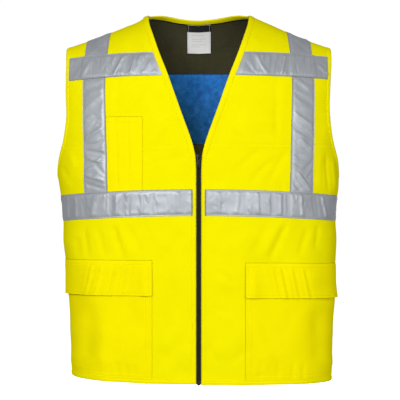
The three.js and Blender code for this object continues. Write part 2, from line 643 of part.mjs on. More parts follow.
// Outer panels.
const inArmhole = (index, sideIn, i, j) => j >= index.underarm && i >= sideIn;
function underarmCorner(lattice, sideIn, sideOut, index, forPanel) {
  const corner = lattice[index.underarm][sideOut];
  const beside = lattice[index.underarm][sideIn];
  const below = lattice[index.underBinding][sideOut];
  const belowBeside = lattice[index.underBinding][sideIn];
  return outward([forPanel ? [belowBeside, below, beside] : [beside, below, corner]]);
}
function addFrontPanels() {
  SIDES.forEach(({ name }, n) => {
    const { sideIn, side, binding } = FRONT_COLUMN;
    const faces = cells(fronts[n], [0, side], [F.hemTop, F.shoulder], (i, j) => {
      const cut = (j >= F.vBottom && i < binding) || inArmhole(F, sideIn, i, j);
      return !cut && !(j === F.underBinding && i === sideIn);
    });
    faces.push(...underarmCorner(fronts[n], sideIn, side, F, true));
    addPiece(`front_panel_${name}`, sheet(faces, 0, SHELL), MATERIAL.yellow);
  });
}
function backFaces(rows) {
  const edgeCells = [0, 2 * backMiddle - 1];
  const faces = cells(back, [0, 2 * backMiddle], rows, (i, j) => {
    return !(edgeCells.includes(i) && j >= B.underBinding);
  });
  for (const { side } of SIDES) {
    const [sideIn, sideOut] = [backColumn(side, BACK_COLUMN.sideIn), backColumn(side, BACK_COLUMN.side)];
    faces.push(...underarmCorner(back, sideIn, sideOut, B, true));
  }
  return faces;
}

// Bound edges.
function addBindings() {
  const [lower, upper] = [-BINDING_PROUD, SHELL + BINDING_PROUD];
  const neckOuter = [];
  const neckInner = [];
  const frontRun = (lattice, reverse) => {
    const run = lattice.slice(F.vBottom, F.shoulder + 1);
    if (reverse) run.reverse();
    return run;
  };
  for (const line of frontRun(fronts[0], false)) {
    neckOuter.push(line[FRONT_COLUMN.edge]);
    neckInner.push(line[FRONT_COLUMN.binding]);
  }
  for (let k = 1 - NECK_COLUMN; k <= NECK_COLUMN - 1; k++) {
    const inner = back[B.top][backMiddle + k];
    const x = (inner.point.x * NECK_HALF_WIDTH) / Math.abs(boundNeck(Math.sign(k) || 1));
    neckOuter.push({ point: onBody(x, napeLine(x), 1), normal: inner.normal });
    neckInner.push(inner);
  }
  for (const line of frontRun(fronts[1], true)) {
    neckOuter.push(line[FRONT_COLUMN.edge]);
    neckInner.push(line[FRONT_COLUMN.binding]);
  }
  addPiece("neck_binding", sheet(strip(neckOuter, neckInner), lower, upper), MATERIAL.yellowTrim);

  SIDES.forEach(({ name, side }, n) => {
    const front = fronts[n];
    const [backIn, backOut] = [backColumn(side, BACK_COLUMN.sideIn), backColumn(side, BACK_COLUMN.side)];
    const frontLines = front.slice(F.underarm, F.shoulder + 1);
    const backLines = back.slice(B.underarm, B.top).reverse();
    const outer = [...frontLines.map((l) => l[FRONT_COLUMN.side]), ...backLines.map((l) => l[backOut])];
    const inner = [...frontLines.map((l) => l[FRONT_COLUMN.sideIn]), ...backLines.map((l) => l[backIn])];
    const last = outer.length - 1;
    outer[last] = outer[0]; // front and back meet at the underarm
    const faces = strip(outer, inner);
    const below = front[F.underBinding][FRONT_COLUMN.side];
    faces.push(...outward([[inner[0], below, outer[0]]]));
    faces.push(...outward([[inner[last], below, outer[0]]]));
    addPiece(`armhole_binding_${name}`, sheet(faces, lower, upper), MATERIAL.yellowTrim);
  });

  const hemLine = (level) => [
    ...fronts[0][F[level]],
    ...back[B[level]].slice(1, -1),
    ...[...fronts[1][F[level]]].reverse(),
  ];
  addPiece("hem_binding", sheet(strip(hemLine("hem"), hemLine("hemTop")), lower, upper), MATERIAL.yellowTrim);
}

// Reflective tape lies on the panels. The chest tape steps over the shoulder tape.
const ON_SHELL = SHELL + GAP;
function addTapes() {
  const over = ON_SHELL + TAPE + GAP;
  SIDES.forEach(({ name, side }, n) => {
    const { binding, tapeIn, tapeOut, sideIn, side: seam } = FRONT_COLUMN;
    const waist = cells(fronts[n], [binding, seam], [F.waistBottom, F.waistTop]);
    addPiece(`waist_tape_${name}`, sheet(waist, ON_SHELL, ON_SHELL + TAPE), MATERIAL.silver);

    const raised = new Set();
    for (const line of fronts[n].slice(F.chestBottom, F.chestTop + 1)) {
      line.slice(tapeIn, tapeOut + 1).forEach((corner) => raised.add(corner));
    }
    const chest = cells(fronts[n], [binding, sideIn], [F.chestBottom, F.chestTop]);
    const base = (corner) => (raised.has(corner) ? over : ON_SHELL);
    const chestTape = sheet(chest, base, (corner) => base(corner) + TAPE);
    addPiece(`chest_tape_${name}`, chestTape, MATERIAL.silver);

    const lines = [
      ...fronts[n].slice(F.waistTop, F.shoulder + 1).map((line) => line.slice(tapeIn, tapeOut + 1)),
      ...back
        .slice(B.waistTop, B.top)
        .reverse()
        .map((line) => {
          const columns = [0, 1, 2].map((k) => line[backColumn(side, BACK_COLUMN.tapeIn + k)]);
          return columns;
        }),
    ];
    const faces = cells(lines, [0, 2], [0, lines.length - 1]);
    addPiece(`shoulder_tape_${name}`, sheet(faces, ON_SHELL, ON_SHELL + TAPE), MATERIAL.silver);
  });

  const waistBack = cells(back, [0, 2 * backMiddle], [B.waistBottom, B.waistTop]);
  addPiece("waist_tape_back", sheet(waistBack, ON_SHELL, ON_SHELL + TAPE), MATERIAL.silver);
  const raised = new Set();
  for (const line of back.slice(B.backTapeBottom, B.coolingTop + 1)) {
    for (const { side } of SIDES) {
      [0, 1, 2].forEach((k) => raised.add(line[backColumn(side, BACK_COLUMN.tapeIn + k)]));
    }
  }
  const base = (corner) => (raised.has(corner) ? over : ON_SHELL);
  const upperBack = cells(back, [1, 2 * backMiddle - 1], [B.backTapeBottom, B.coolingTop]);
  addPiece("upper_back_tape", sheet(upperBack, base, (corner) => base(corner) + TAPE), MATERIAL.silver);
}

// Patch pockets with flaps, and the pen pocket on the right chest.
function addPockets() {
  const { pocket, tapeIn, sideIn } = FRONT_COLUMN;
  const onPocket = ON_SHELL + POCKET_CLOTH + GAP;
  SIDES.forEach(({ name }, n) => {
    const pouch = cells(fronts[n], [pocket, sideIn], [F.hemTop, F.flapTop - 1]);
    const pouchSheet = sheet(pouch, ON_SHELL, ON_SHELL + POCKET_CLOTH);
    addPiece(`lower_pocket_${name}`, pouchSheet, MATERIAL.yellow);

    const flapDown = new Map();
    for (let j = F.flapBottom; j <= F.flapTop; j++) {
      const down = (F.flapTop - j) / (F.flapTop - F.flapBottom);
      fronts[n][j].forEach((corner, i) => {
        const corners = smooth((i - tapeIn) / (sideIn - tapeIn));
        const flare = FLAP_FLARE + FLAP_CORNER_FLARE * corners;
        flapDown.set(corner, (j === F.flapTop ? 0 : onPocket - ON_SHELL) + flare * down ** 2);
      });
    }
    const base = (corner) => ON_SHELL + flapDown.get(corner);
    const flap = cells(fronts[n], [pocket, sideIn], [F.flapBottom, F.flapTop]);
    addPiece(`pocket_flap_${name}`, sheet(flap, base, (c) => base(c) + POCKET_CLOTH), MATERIAL.yellow);
  });
  const pens = cells(fronts[0], [pocket, tapeIn], [F.waistTop, F.penTop]);
  addPiece("pen_pocket", sheet(pens, ON_SHELL, ON_SHELL + POCKET_CLOTH), MATERIAL.yellow);
}

// Inside the back: mesh lining, cooling panel and label.
function addInside() {
  const liningTop = -2 * GAP;
  const liningBottom = liningTop - LINING;
  addPiece("mesh_lining", sheet(backFaces([B.hemTop, B.top]), liningBottom, liningTop), MATERIAL.mesh);

  const coolingTop = liningBottom - GAP;
  const pad = cells(back, [1, 2 * backMiddle - 1], [B.coolingBottom, B.coolingTop]);
  addPiece("cooling_panel", sheet(pad, coolingTop - COOLING_THICK, coolingTop), MATERIAL.blue);
  addLabel(liningBottom - 2 * GAP);
}

// A corner between the corners of two rows, at a given x.
function cornerAt(line, x) {
  const i = line.findIndex((corner) => corner.point.x > x) - 1;
  return mixCorners(line[i], line[i + 1], (x - line[i].point.x) / (line[i + 1].point.x - line[i].point.x));
}
const mixCorners = (a, b, share) => ({
  point: a.point.clone().lerp(b.point, share),
  normal: a.normal.clone().lerp(b.normal, share).normalize(),
});

// The label hangs from the neck binding. Its free end stands off the lining.
function addLabel(front) {
  const xs = [-1, 0, 1].map((k) => LABEL_OFF_MIDDLE + (k * LABEL_WIDTH) / 2);
  const topZ = back[B.top][backMiddle].point.z;
  const rowAtDepth = (down) => {
    const z = topZ - down;
    const j = back.findLastIndex((line) => line[backMiddle].point.z <= z);
    const [below, above] = [back[j], back[Math.min(j + 1, B.top)]];
    const high = above[backMiddle].point.z - below[backMiddle].point.z || 1;
    const share = (z - below[backMiddle].point.z) / high;
    return xs.map((x) => ({ ...mixCorners(cornerAt(below, x), cornerAt(above, x), share), down }));
  };
  const crossed = back.map((line) => topZ - line[backMiddle].point.z);
  const piece = (name, from, to, top, material) => {
    const inside = crossed.filter((down) => down > from + 1 && down < to - 1);
    const lines = [to, ...inside, from].map(rowAtDepth);
    const upper = ({ down }) => top - LABEL_STANDS_OFF * (down / LABEL_LENGTH) ** 2;
    const faces = cells(lines, [0, 2], [0, lines.length - 1]);
    addPiece(name, sheet(faces, (corner) => upper(corner) - LABEL_THICK, upper), material);
  };
  piece("care_label", LABEL_BELOW_BINDING, LABEL_LENGTH, front, MATERIAL.label);
  const bandTop = front - LABEL_THICK - GAP;
  piece("label_band", LABEL_BELOW_BINDING, LABEL_BAND, bandTop, MATERIAL.black);
}

// Solids of plain parts, joined or cut.
function solidOf(geometry) {
  const bare = geometry.clone();
  bare.deleteAttribute("normal");
  bare.deleteAttribute("uv");
  const merged = mergeVertices(bare, 1e-4);
  const { array } = merged.attributes.position;
  const mesh = new wasm.Mesh({ numProp: 3, vertProperties: array, triVerts: new Uint32Array(merged.index.array) });
  return new wasm.Manifold(mesh);
}
function geometryOf(solid) {
  const { vertProperties, triVerts } = solid.getMesh();
  const geometry = new THREE.BufferGeometry();
  geometry.setAttribute("position", new THREE.BufferAttribute(vertProperties, 3));
  geometry.setIndex(new THREE.BufferAttribute(triVerts, 1));
  return geometry;
}
const block = (width, deep, high, x, y, z) => solidOf(new THREE.BoxGeometry(width, deep, high).translate(x, y, z));

// The zip: two tapes behind the front edges, the closed chain in the slot, and its hardware.
function zipLine(xs, from, to) {
  const lines = fronts[0].slice(from, to + 1).map((line) => {
    const z = line[FRONT_COLUMN.edge].point.z;
    return xs.map((x) => onBody(x, z, -1));
  });
  return latticeOf(lines, -1);
}
function addZip() {
  SIDES.forEach(({ name, side }, n) => {
    const lines = fronts[n].slice(F.hemTop, F.vBottom + 1).map((line) => {
      const edge = line[FRONT_COLUMN.edge];
      const middle = { point: onBody(side * GAP, edge.point.z, -1), normal: edge.normal };
      return [middle, edge, line[FRONT_COLUMN.binding]];
    });
    const faces = cells(lines, [0, 2], [0, lines.length - 1]);
    addPiece(`zip_tape_${name}`, sheet(faces, -GAP - ZIP_TAPE, -GAP), MATERIAL.black);
  });
  const chain = zipLine([-CHAIN_WIDTH / 2, CHAIN_WIDTH / 2], F.hemTop, F.vBottom);
  const links = cells(chain, [0, 1], [0, chain.length - 1]);
  addPiece("zip_chain", sheet(links, 0, CHAIN_THICK), MATERIAL.black);

  const chainFace = (z) => depthAt(0, z, -1) - CHAIN_THICK;
  addSlider(chainFace);
  const boxTop = -BODY_LENGTH + HEM_BINDING - LEFT_HEM_MIDDLE_LOWER - GAP;
  const boxBottom = -BODY_LENGTH - ZIP_BOX_BELOW_HEM;
  const boxWidth = ZIP_SLOT - 2 * GAP;
  const boxDeep = CHAIN_THICK + SHELL;
  const boxStraight = boxTop - boxBottom - boxWidth / 2;
  const rounded = new THREE.Shape().absarc(0, 0, boxWidth / 2, Math.PI, 2 * Math.PI);
  rounded.lineTo(boxWidth / 2, boxStraight).lineTo(-boxWidth / 2, boxStraight).closePath();
  const box = new THREE.ExtrudeGeometry(rounded, { depth: boxDeep, bevelEnabled: false, curveSegments: 8 });
  box.rotateX(Math.PI / 2).translate(0, chainFace(boxTop) + boxDeep, boxBottom + boxWidth / 2);
  addPiece("zip_box", box, MATERIAL.black);
}

// The slider straddles the chain. Its bridge holds the pull, which hangs in front.
function addSlider(chainFace) {
  const top = V_BOTTOM - SLIDER_BELOW_V;
  const middle = top - SLIDER_LENGTH / 2;
  const chainY = Math.min(chainFace(top), chainFace(top - SLIDER_LENGTH));
  const faceY = chainY - SLIDER_PROUD;
  const deep = SLIDER_PROUD + SLIDER_SIDES;
  const body = block(SLIDER_WIDTH, deep, SLIDER_LENGTH, 0, faceY + deep / 2, middle);
  const room = CHAIN_WIDTH + 2 * GAP;
  const hollow = block(room, deep, 2 * SLIDER_LENGTH, 0, chainY - GAP + deep / 2, middle);
  const pivotY = faceY - GAP - PULL_PLAY - PULL_THICK / 2;
  const pivotZ = top - BRIDGE_BELOW_TOP - BRIDGE_BAR - BRIDGE_SPAN / 2;
  const bridgeInside = GAP + 2 * PULL_PLAY + PULL_THICK + GAP;
  const bridgeDeep = bridgeInside + BRIDGE_BAR;
  const bridgeHigh = BRIDGE_SPAN + 2 * BRIDGE_BAR;
  const bridge = block(BRIDGE_WIDTH, bridgeDeep, bridgeHigh, 0, faceY - bridgeDeep / 2, pivotZ);
  const under = block(2 * BRIDGE_WIDTH, bridgeInside, BRIDGE_SPAN, 0, faceY - bridgeInside / 2, pivotZ);
  const slider = body.subtract(hollow).add(bridge.subtract(under));
  addPiece("zip_slider", geometryOf(slider), MATERIAL.zipMetal);

  const outline = new THREE.Shape();
  const [half, tip] = [PULL_WIDTH / 2, -PULL_LENGTH + PULL_WIDTH / 2];
  outline.moveTo(-half, BRIDGE_BAR / 2).lineTo(-half, tip);
  outline.absarc(0, tip, half, Math.PI, 2 * Math.PI).lineTo(half, BRIDGE_BAR / 2).closePath();
  const eye = new THREE.Path();
  const eyeHalf = PULL_EYE_WIDTH / 2;
  eye.moveTo(-eyeHalf, -BRIDGE_BAR / 2).lineTo(eyeHalf, -BRIDGE_BAR / 2);
  eye.lineTo(eyeHalf, -PULL_EYE_LENGTH).lineTo(-eyeHalf, -PULL_EYE_LENGTH).closePath();
  outline.holes.push(eye);
  const pull = new THREE.ExtrudeGeometry(outline, { depth: PULL_THICK, bevelEnabled: false, curveSegments: 6 });
  pull.rotateX(Math.PI / 2);
  addPiece("zip_pull", pull, MATERIAL.zipMetal).position.set(0, pivotY + PULL_THICK / 2, pivotZ);
}

addFrontPanels();
addPiece("back_panel", sheet(backFaces([B.hemTop, B.top]), 0, SHELL), MATERIAL.yellow);
addBindings();
addTapes();
addPockets();
addInside();
addZip();

export default vest;
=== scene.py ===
# A high-visibility cooling vest, shown as worn: yellow panels, silver tape, a front zip, flap
# pockets, and inside the back a mesh lining, a blue cooling panel and a neck label.
import math

import bpy
import numpy as np
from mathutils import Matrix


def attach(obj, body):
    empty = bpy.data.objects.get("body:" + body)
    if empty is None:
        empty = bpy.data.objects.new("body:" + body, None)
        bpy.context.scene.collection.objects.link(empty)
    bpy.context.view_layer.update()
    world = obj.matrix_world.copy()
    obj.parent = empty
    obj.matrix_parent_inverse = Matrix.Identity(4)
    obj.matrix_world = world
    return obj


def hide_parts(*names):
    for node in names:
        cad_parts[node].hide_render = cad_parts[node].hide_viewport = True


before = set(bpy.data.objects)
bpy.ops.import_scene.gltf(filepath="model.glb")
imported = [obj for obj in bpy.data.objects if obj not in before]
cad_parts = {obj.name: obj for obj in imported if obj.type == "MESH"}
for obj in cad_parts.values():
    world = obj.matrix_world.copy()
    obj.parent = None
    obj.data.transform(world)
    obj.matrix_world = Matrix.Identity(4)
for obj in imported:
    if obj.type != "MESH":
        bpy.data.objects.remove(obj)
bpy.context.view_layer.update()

scene = bpy.context.scene
half = math.pi / 2
sides = (("right", -1), ("left", 1))

view = {"place": (0.0025, -3.0, -0.3646), "lens": 135.9, "sensor": 36.0}
bpy.ops.object.camera_add(location=view["place"], rotation=(half, 0, 0))
camera = bpy.context.object
camera.name = "photo_camera"
camera.data.lens = view["lens"]
camera.data.sensor_width = view["sensor"]
camera.data.clip_end = 60
scene.camera = camera

studio = {
    "sky": 0.38, "aim": (0, 0, -0.36),
    "key": dict(place=(-0.95, -3.1, 0.6), size=1.3, watts=63.5),
    "fill": dict(place=(1.3, -3.0, -0.4), size=1.8, watts=28),
    "back": dict(place=(0.7, 3.2, -0.25), size=1.8, watts=66),
    "floor": dict(height=-1.05, radius=14.0, glow=0.85),
    "backdrop": dict(radius=16.0, glow=1.02),
}


def addLight(name, place, size, watts):
    bpy.ops.object.light_add(type="AREA", location=place)
    light = bpy.context.object
    light.name = name
    light.data.shape = "DISK"
    light.data.size = size
    light.data.energy = watts
    aim = np.array(studio["aim"]) - np.array(place)
    tilt = math.atan2(math.hypot(aim[0], aim[1]), -aim[2])
    light.rotation_euler = (tilt, 0, math.atan2(-aim[0], aim[1]))


def glowing(name, color, glow):
    m = bpy.data.materials.new(name)
    m.use_nodes = True
    shader = m.node_tree.nodes["Principled BSDF"]
    shader.inputs["Base Color"].default_value = (*color, 1)
    shader.inputs["Roughness"].default_value = 0.9
    shader.inputs["Emission Color"].default_value = (1, 1, 1, 1)
    shader.inputs["Emission Strength"].default_value = glow
    return m


def addStudio():
    world = bpy.data.worlds.new("studio")
    scene.world = world
    world.use_nodes = True
    sky = world.node_tree.nodes["Background"]
    sky.inputs["Color"].default_value = (1, 1, 1, 1)
    sky.inputs["Strength"].default_value = studio["sky"]
    addLight("key_light", **studio["key"])
    addLight("fill_light", **studio["fill"])
    addLight("back_light", **studio["back"])
    floor, drop = studio["floor"], studio["backdrop"]
    bpy.ops.mesh.primitive_circle_add(
        vertices=96, radius=floor["radius"], fill_type="NGON", location=(0, 0, floor["height"])
    )
    ground = bpy.context.object
    ground.name = "studio_floor"
    ground.data.materials.append(glowing("white_paper", (0.86, 0.86, 0.86), floor["glow"]))
    bpy.ops.mesh.primitive_uv_sphere_add(segments=48, ring_count=24, radius=drop["radius"])
    dome = bpy.context.object
    dome.name = "studio_backdrop"
    dome.data.materials.append(glowing("white_backdrop", (0, 0, 0), drop["glow"]))
    for piece in (ground, dome):  # seen white, but they light nothing
        piece.visible_diffuse = piece.visible_glossy = piece.visible_shadow = False
    scene.view_settings.view_transform = "Standard"


addStudio()
print("camera, light and floor are up")

# the body's form, in millimetres
form = {
    "length": 714, "halfWidth": 278, "round": 2.6, "neck": 99, "tip": 262, "drop": 66,
    "armhole": 249, "vBottom": -278, "underarm": -315,
    "zipEdge": 4.8, "zipSpread": 1.8, "zipSpreadLength": 34, "bindingDrop": 6.5,
}
# what differs by face, -1 for the front and 1 for the back: over is the height of the curve
# over the shoulder, and turn the share of a panel's rows below it
shell = {
    -1: {"depth": 142, "over": 150, "turn": 0.725, "column": "front", "lines": "panels", "crease": 1.2},
    1: {"depth": 128, "over": 95, "turn": 0.78, "column": "back", "lines": "back", "crease": 1.7},
}
shoulders = {
    "out": [-1, -0.58, -0.21, 0, 0.13, 0.28, 0.44, 0.6, 0.76, 1, 1.16],
    "right": [-0.38, -0.33, -0.17, 0, 0.2, 0.35, 0.51, 0.67, 0.8, 1, 1.15],
    "left": [-0.38, -0.33, -0.15, 0, 0.14, 0.3, 0.48, 0.665, 0.8, 1, 1.15],
}
nape = {
    "out": [0, 0.31, 0.52, 0.68, 0.84, 1],
    "rise": [-0.008, 0.013, 0.04, 0.053, 0.042, 0],
}
sections = {
    "down": [-0.06, 0.05, 0.14, 0.24, 0.33, 0.43, 0.48, 0.525, 0.57, 0.62, 0.7, 0.79, 0.88, 1.02],
    "right": [1.13, 1.1, 1.03, 1, 1, 0.998, 0.981, 0.964, 0.958, 0.957, 0.934, 0.915, 0.906, 0.896],
    "left": [1.13, 1.1, 1.03, 1, 0.993, 0.99, 0.987, 0.969, 0.968, 0.975, 0.965, 0.958, 0.946, 0.938],
    "front": [0.8, 0.84, 0.91, 0.96, 0.99, 1, 1, 1, 0.99, 0.99, 0.99, 0.98, 0.98, 0.97],
    "back": [0.8, 0.85, 0.94, 1, 1, 0.97, 0.95, 0.94, 0.93, 0.935, 0.945, 0.96, 0.98, 1],
}
neckEdge = {
    "up": [0, 0.07, 0.165, 0.28, 0.556, 0.7, 0.825, 0.925, 1],
    "out": [0, 0.05, 0.146, 0.274, 0.569, 0.738, 0.868, 0.964, 1],
}
armholeEdge = {
    "up": [0, 0.09, 0.16, 0.27, 0.4, 0.55, 0.77, 0.9, 1],
    "right": [0, 0.22, 0.47, 1, 1.36, 1.44, 1.25, 1.17, 1.08],
    "left": [0, 0.22, 0.56, 1.16, 1.62, 1.7, 1.4, 1.2, 1.08],
}
# face, place, start, end, lean, half width and rise: start and end are shares of the length,
# rise is a share of the depth, and the others are shares of the body's half width
hangingFolds = [
    (-1, -0.8, 0.57, 1.2, 0.07, 0.09, 0.025), (-1, -0.6, 0.56, 0.95, 0.11, 0.1, -0.025),
    (-1, -0.36, 0.62, 1.2, -0.07, 0.115, 0.021), (-1, 0.3, 0.6, 1.2, 0.06, 0.12, 0.021),
    (-1, 0.58, 0.56, 0.95, -0.11, 0.1, -0.025), (-1, 0.82, 0.56, 1.2, -0.07, 0.09, 0.025),
    (-1, -0.93, 0.34, 0.64, 0.04, 0.09, -0.021), (-1, 0.93, 0.34, 0.64, -0.04, 0.09, -0.021),
    (1, -0.7, 0.5, 1.2, 0.08, 0.13, 0.031), (1, -0.38, 0.55, 1.2, 0.04, 0.13, -0.031),
    (1, -0.05, 0.5, 1.2, -0.04, 0.145, 0.031), (1, 0.34, 0.55, 1.2, -0.04, 0.13, -0.031),
    (1, 0.68, 0.5, 1.2, -0.08, 0.13, 0.031),
]


def mix(a, b, share):
    return a + (b - a) * share


def smooth(t):
    t = np.clip(t, 0, 1)
    return t * t * (3 - 2 * t)


def bump(distance, wide):
    return np.exp(-((distance / wide) ** 2))


def fromTable(table, key, value, at):
    k, v = np.array(table[key], float), np.array(table[value], float)
    last = len(k) - 1
    b = np.clip(np.searchsorted(k, at), 1, last)
    a = b - 1
    before, after = np.maximum(b - 2, 0), np.minimum(b + 1, last)
    span = k[b] - k[a]
    slopeIn = (v[b] - v[before]) / (k[b] - k[before])
    slopeOut = (v[after] - v[a]) / (k[after] - k[a])
    s = np.clip((at - k[a]) / span, 0, 1)
    return (
        (2 * s**3 - 3 * s**2 + 1) * v[a] + (s**3 - 2 * s**2 + s) * span * slopeIn
        + (3 * s**2 - 2 * s**3) * v[b] + (s**3 - s**2) * span * slopeOut
    )


def bySide(x, right, left):
    return np.where(np.asarray(x) < 0, right, left)


def sideTable(table, key, at, x):
    return bySide(x, fromTable(table, key, "right", at), fromTable(table, key, "left", at))


def halfWidth(z, x):
    down = -np.asarray(z, float) / form["length"]
    return form["halfWidth"] * sideTable(sections, "down", down, x)


def shoulderLine(x):
    past = np.abs(x) - form["neck"]
    out = past / np.where(past < 0, form["neck"], form["tip"] - form["neck"])
    return -form["drop"] * sideTable(shoulders, "out", out, x)


def depthAt(x, z, face):
    x, z = np.broadcast_arrays(np.asarray(x, float), np.asarray(z, float))
    down = -z / form["length"]
    share = x / halfWidth(z, x)
    across = np.clip(np.abs(share), 0, 1)
    section = (1 - across ** form["round"]) ** (1 / form["round"])
    full = shell[face]["depth"]
    turn = np.clip((shoulderLine(x) - z) / shell[face]["over"], 0, 1)
    depth = full * fromTable(sections, "down", shell[face]["column"], down) * section
    depth = depth * np.sqrt(1 - (1 - turn) ** 2)
    for foldFace, place, start, end, lean, wide, rise in hangingFolds:
        if foldFace == face:
            off = share - place - lean * (down - start) / (end - start)
            ends = smooth((down - start) / 0.15) * smooth((end - down) / 0.15)
            depth = depth + full * rise * ends * bump(off, wide) * section
    return face * depth


def roundOf(x, z):
    across = np.clip(np.abs(x) / halfWidth(z, x), 0, 1)
    return np.sign(x) * np.arcsin(across ** (form["round"] / 2)) / half


def xOfRound(r, z):
    return np.sign(r) * halfWidth(z, r) * np.sin(np.abs(r) * half) ** (2 / form["round"])


def pointsAt(x, z, face):
    x, z = np.broadcast_arrays(np.asarray(x, float), np.asarray(z, float))
    return np.stack([x, depthAt(x, z, face), z], -1)


def unit(v):
    return v / np.maximum(np.linalg.norm(v, axis=-1, keepdims=True), 1e-9)


def normalsAt(x, z, face):
    x, z = np.broadcast_arrays(np.asarray(x, float), np.asarray(z, float))
    r = roundOf(x, z)
    high, low = np.clip(r + 0.004, -1, 1), np.clip(r - 0.004, -1, 1)
    step = np.clip((shoulderLine(x) - z) * 0.3, 0.02, 1)
    across = pointsAt(xOfRound(high, z), z, face) - pointsAt(xOfRound(low, z), z, face)
    up = pointsAt(xOfRound(r, z + step), z + step, face)
    up = up - pointsAt(xOfRound(r, z - step), z - step, face)
    return unit(np.cross(across, up)) * (1 if face < 0 else -1)


# rows across the body: height at the side, rise in the middle of the front and of the back,
# how much lower the left side hangs, and the left middle
levels = {
    "hem": (-706, -8, -8, 12.5, 1.5), "hemTop": (-697, -8, -8, 12.5, 1.5),
    "flapBottom": (-546, 0, 0, 8.5, 4), "flapTop": (-479, 0, 0, 8.5, 4),
    "pocketTop": (-500, 0, 0, 8.5, 4), "penTop": (-206, 0, 0, 0, 0),
    "waistBottom": (-406, 11.5, 5.75, 0, 0), "waistTop": (-356, 11.5, 5.75, 0, 0),
    "chestBottom": (-136, 9, 0, -4, 0), "chestTop": (-90, 9, 0, -4, 0),
    "coolingBottom": (-249, 0, 0, 0, 0), "coolingTop": (-105, 0, 0, 0, 0),
    "backTapeBottom": (-155, 0, 0, 0, 0),
}


def rowAt(level, x, face):
    side, front, back, left, leftMiddle = level
    onLeft = np.asarray(x) > 0
    low = side - np.where(onLeft, left, 0)
    middle = side + (front - np.where(onLeft, leftMiddle, 0) if face < 0 else back)
    return mix(middle, low, np.clip(np.abs(x) / form["halfWidth"], 0, 1) ** 2)


def between(a, b, face):
    return lambda x, t: mix(rowAt(levels[a], x, face), rowAt(levels[b], x, face), t)


def frontEdge(z):
    up = np.clip(1 - z / form["vBottom"], 0, 1)
    spread = np.clip(1 + (z - form["vBottom"]) / form["zipSpreadLength"], 0, 1) ** 2
    slot = form["zipEdge"] + form["zipSpread"] * spread
    return mix(slot, form["neck"], fromTable(neckEdge, "up", "out", up))


def sideEdge(z, side):
    seam = halfWidth(np.minimum(z, form["underarm"]), side)
    up = np.clip((z - form["underarm"]) / form["armhole"], 0, 1)
    edge = mix(seam, form["tip"], fromTable(armholeEdge, "up", "right" if side < 0 else "left", up))
    return np.where(z <= form["underarm"], seam, edge)


def napeLine(x):
    return form["neck"] * fromTable(nape, "out", "rise", np.abs(x) / form["neck"])


def meetEdge(edge, zOf, t, side):
    x = side * edge(zOf(side * form["neck"] + 0 * t, t)) + 0 * t
    for _ in range(14):
        x = side * edge(zOf(x, t))
    return x


# the place a distance in millimetres round the body from x, outwards or (negative) inwards
def stepRound(x, distance, zOf, t, face):
    start = pointsAt(x, zOf(x, t), face)
    near = roundOf(x, zOf(x, t))
    side = np.where(x < 0, -1.0, 1.0)
    far = side * (1.0 if np.max(distance) > 0 else 0.0) + 0 * near
    for _ in range(26):
        middle = (near + far) / 2
        at = xOfRound(middle, zOf(x, t))
        at = xOfRound(middle, zOf(at, t))
        reached = np.linalg.norm(pointsAt(at, zOf(at, t), face) - start, axis=-1) > np.abs(distance)
        far = np.where(reached, middle, far)
        near = np.where(reached, near, middle)
    at = xOfRound(near, zOf(x, t))
    return xOfRound(near, zOf(at, t))


# the side edge, drawn in by a distance round the body where the armhole is
def insideArmhole(zOf, side, face, distance):
    def edge(t):
        x = meetEdge(lambda z: sideEdge(z, side), zOf, t, side)
        return stepRound(x, -distance * smooth((zOf(x, t) - form["underarm"] - 2) / 6), zOf, t, face)

    return edge


def backArmholes(zOf, distance):
    return [insideArmhole(zOf, side, 1, distance) for side in (-1, 1)]


def besideZip(zOf, side, distance):
    return lambda t: stepRound(meetEdge(frontEdge, zOf, t, side), distance, zOf, t, -1)


# shares from 0 to 1, closer together near some of them
def shares(count, near=(), wide=0.02, more=4.0):
    at = np.linspace(0, 1, 4001)
    weight = at * 0 + 1 + sum(more * bump(at - n, wide) for n in near)
    run = np.concatenate([[0], np.cumsum(weight[1:] + weight[:-1])])
    return np.interp(np.linspace(0, run[-1], count + 1), run, at)


def layGrid(zOf, inner, outer, us, ts):
    t, u = ts[:, None], us[None, :]
    a, b = inner(t), outer(t)
    r = mix(roundOf(a, zOf(a, t)), roundOf(b, zOf(b, t)), u)
    x = mix(a, b, u)
    for _ in range(8):
        x = xOfRound(r, zOf(x, t))
    return x, zOf(x, t)


# panel rows from the hem to the shoulder, or to the neck on the back
backNeckReach = {}


def neckTop(x):
    reach = bySide(x, backNeckReach[-1], backNeckReach[1])
    out = np.abs(x) / reach
    atNape = napeLine(out * form["neck"]) - form["bindingDrop"]
    return mix(atNape, shoulderLine(x), np.minimum(out, 1) ** 8)


def panelRow(face):
    over, share = shell[face]["over"], shell[face]["turn"]

    def zOf(x, t):
        x, t = np.broadcast_arrays(np.asarray(x, float), np.asarray(t, float))
        top = shoulderLine(x)
        end = top if face < 0 else neckTop(x)
        last = np.arccos(np.clip(1 - (top - end) / over, -1, 1))
        angle = mix(half, last, np.clip((t - share) / (1 - share), 0, 1))
        below = mix(rowAt(levels["hem"], x, face), top - over, t / share)
        return np.where(t < share, below, top - over * (1 - np.cos(angle)))

    return zOf


alongShoulder = lambda x, t: shoulderLine(x) + 0 * t
for side in (-1, 1):
    start = np.array([[side * form["neck"]]], float)
    backNeckReach[side] = abs(stepRound(start, 12, alongShoulder, 0 * start, 1)[0, 0])


# the inner edge of the shoulder tape
tapeAt = 178


def tapeInner(z):
    lean = 8 * np.clip(1 + z / 127, 0, 1)
    return tapeAt - lean - 8 * np.clip(z / form["underarm"] - 0.5, 0, 1)


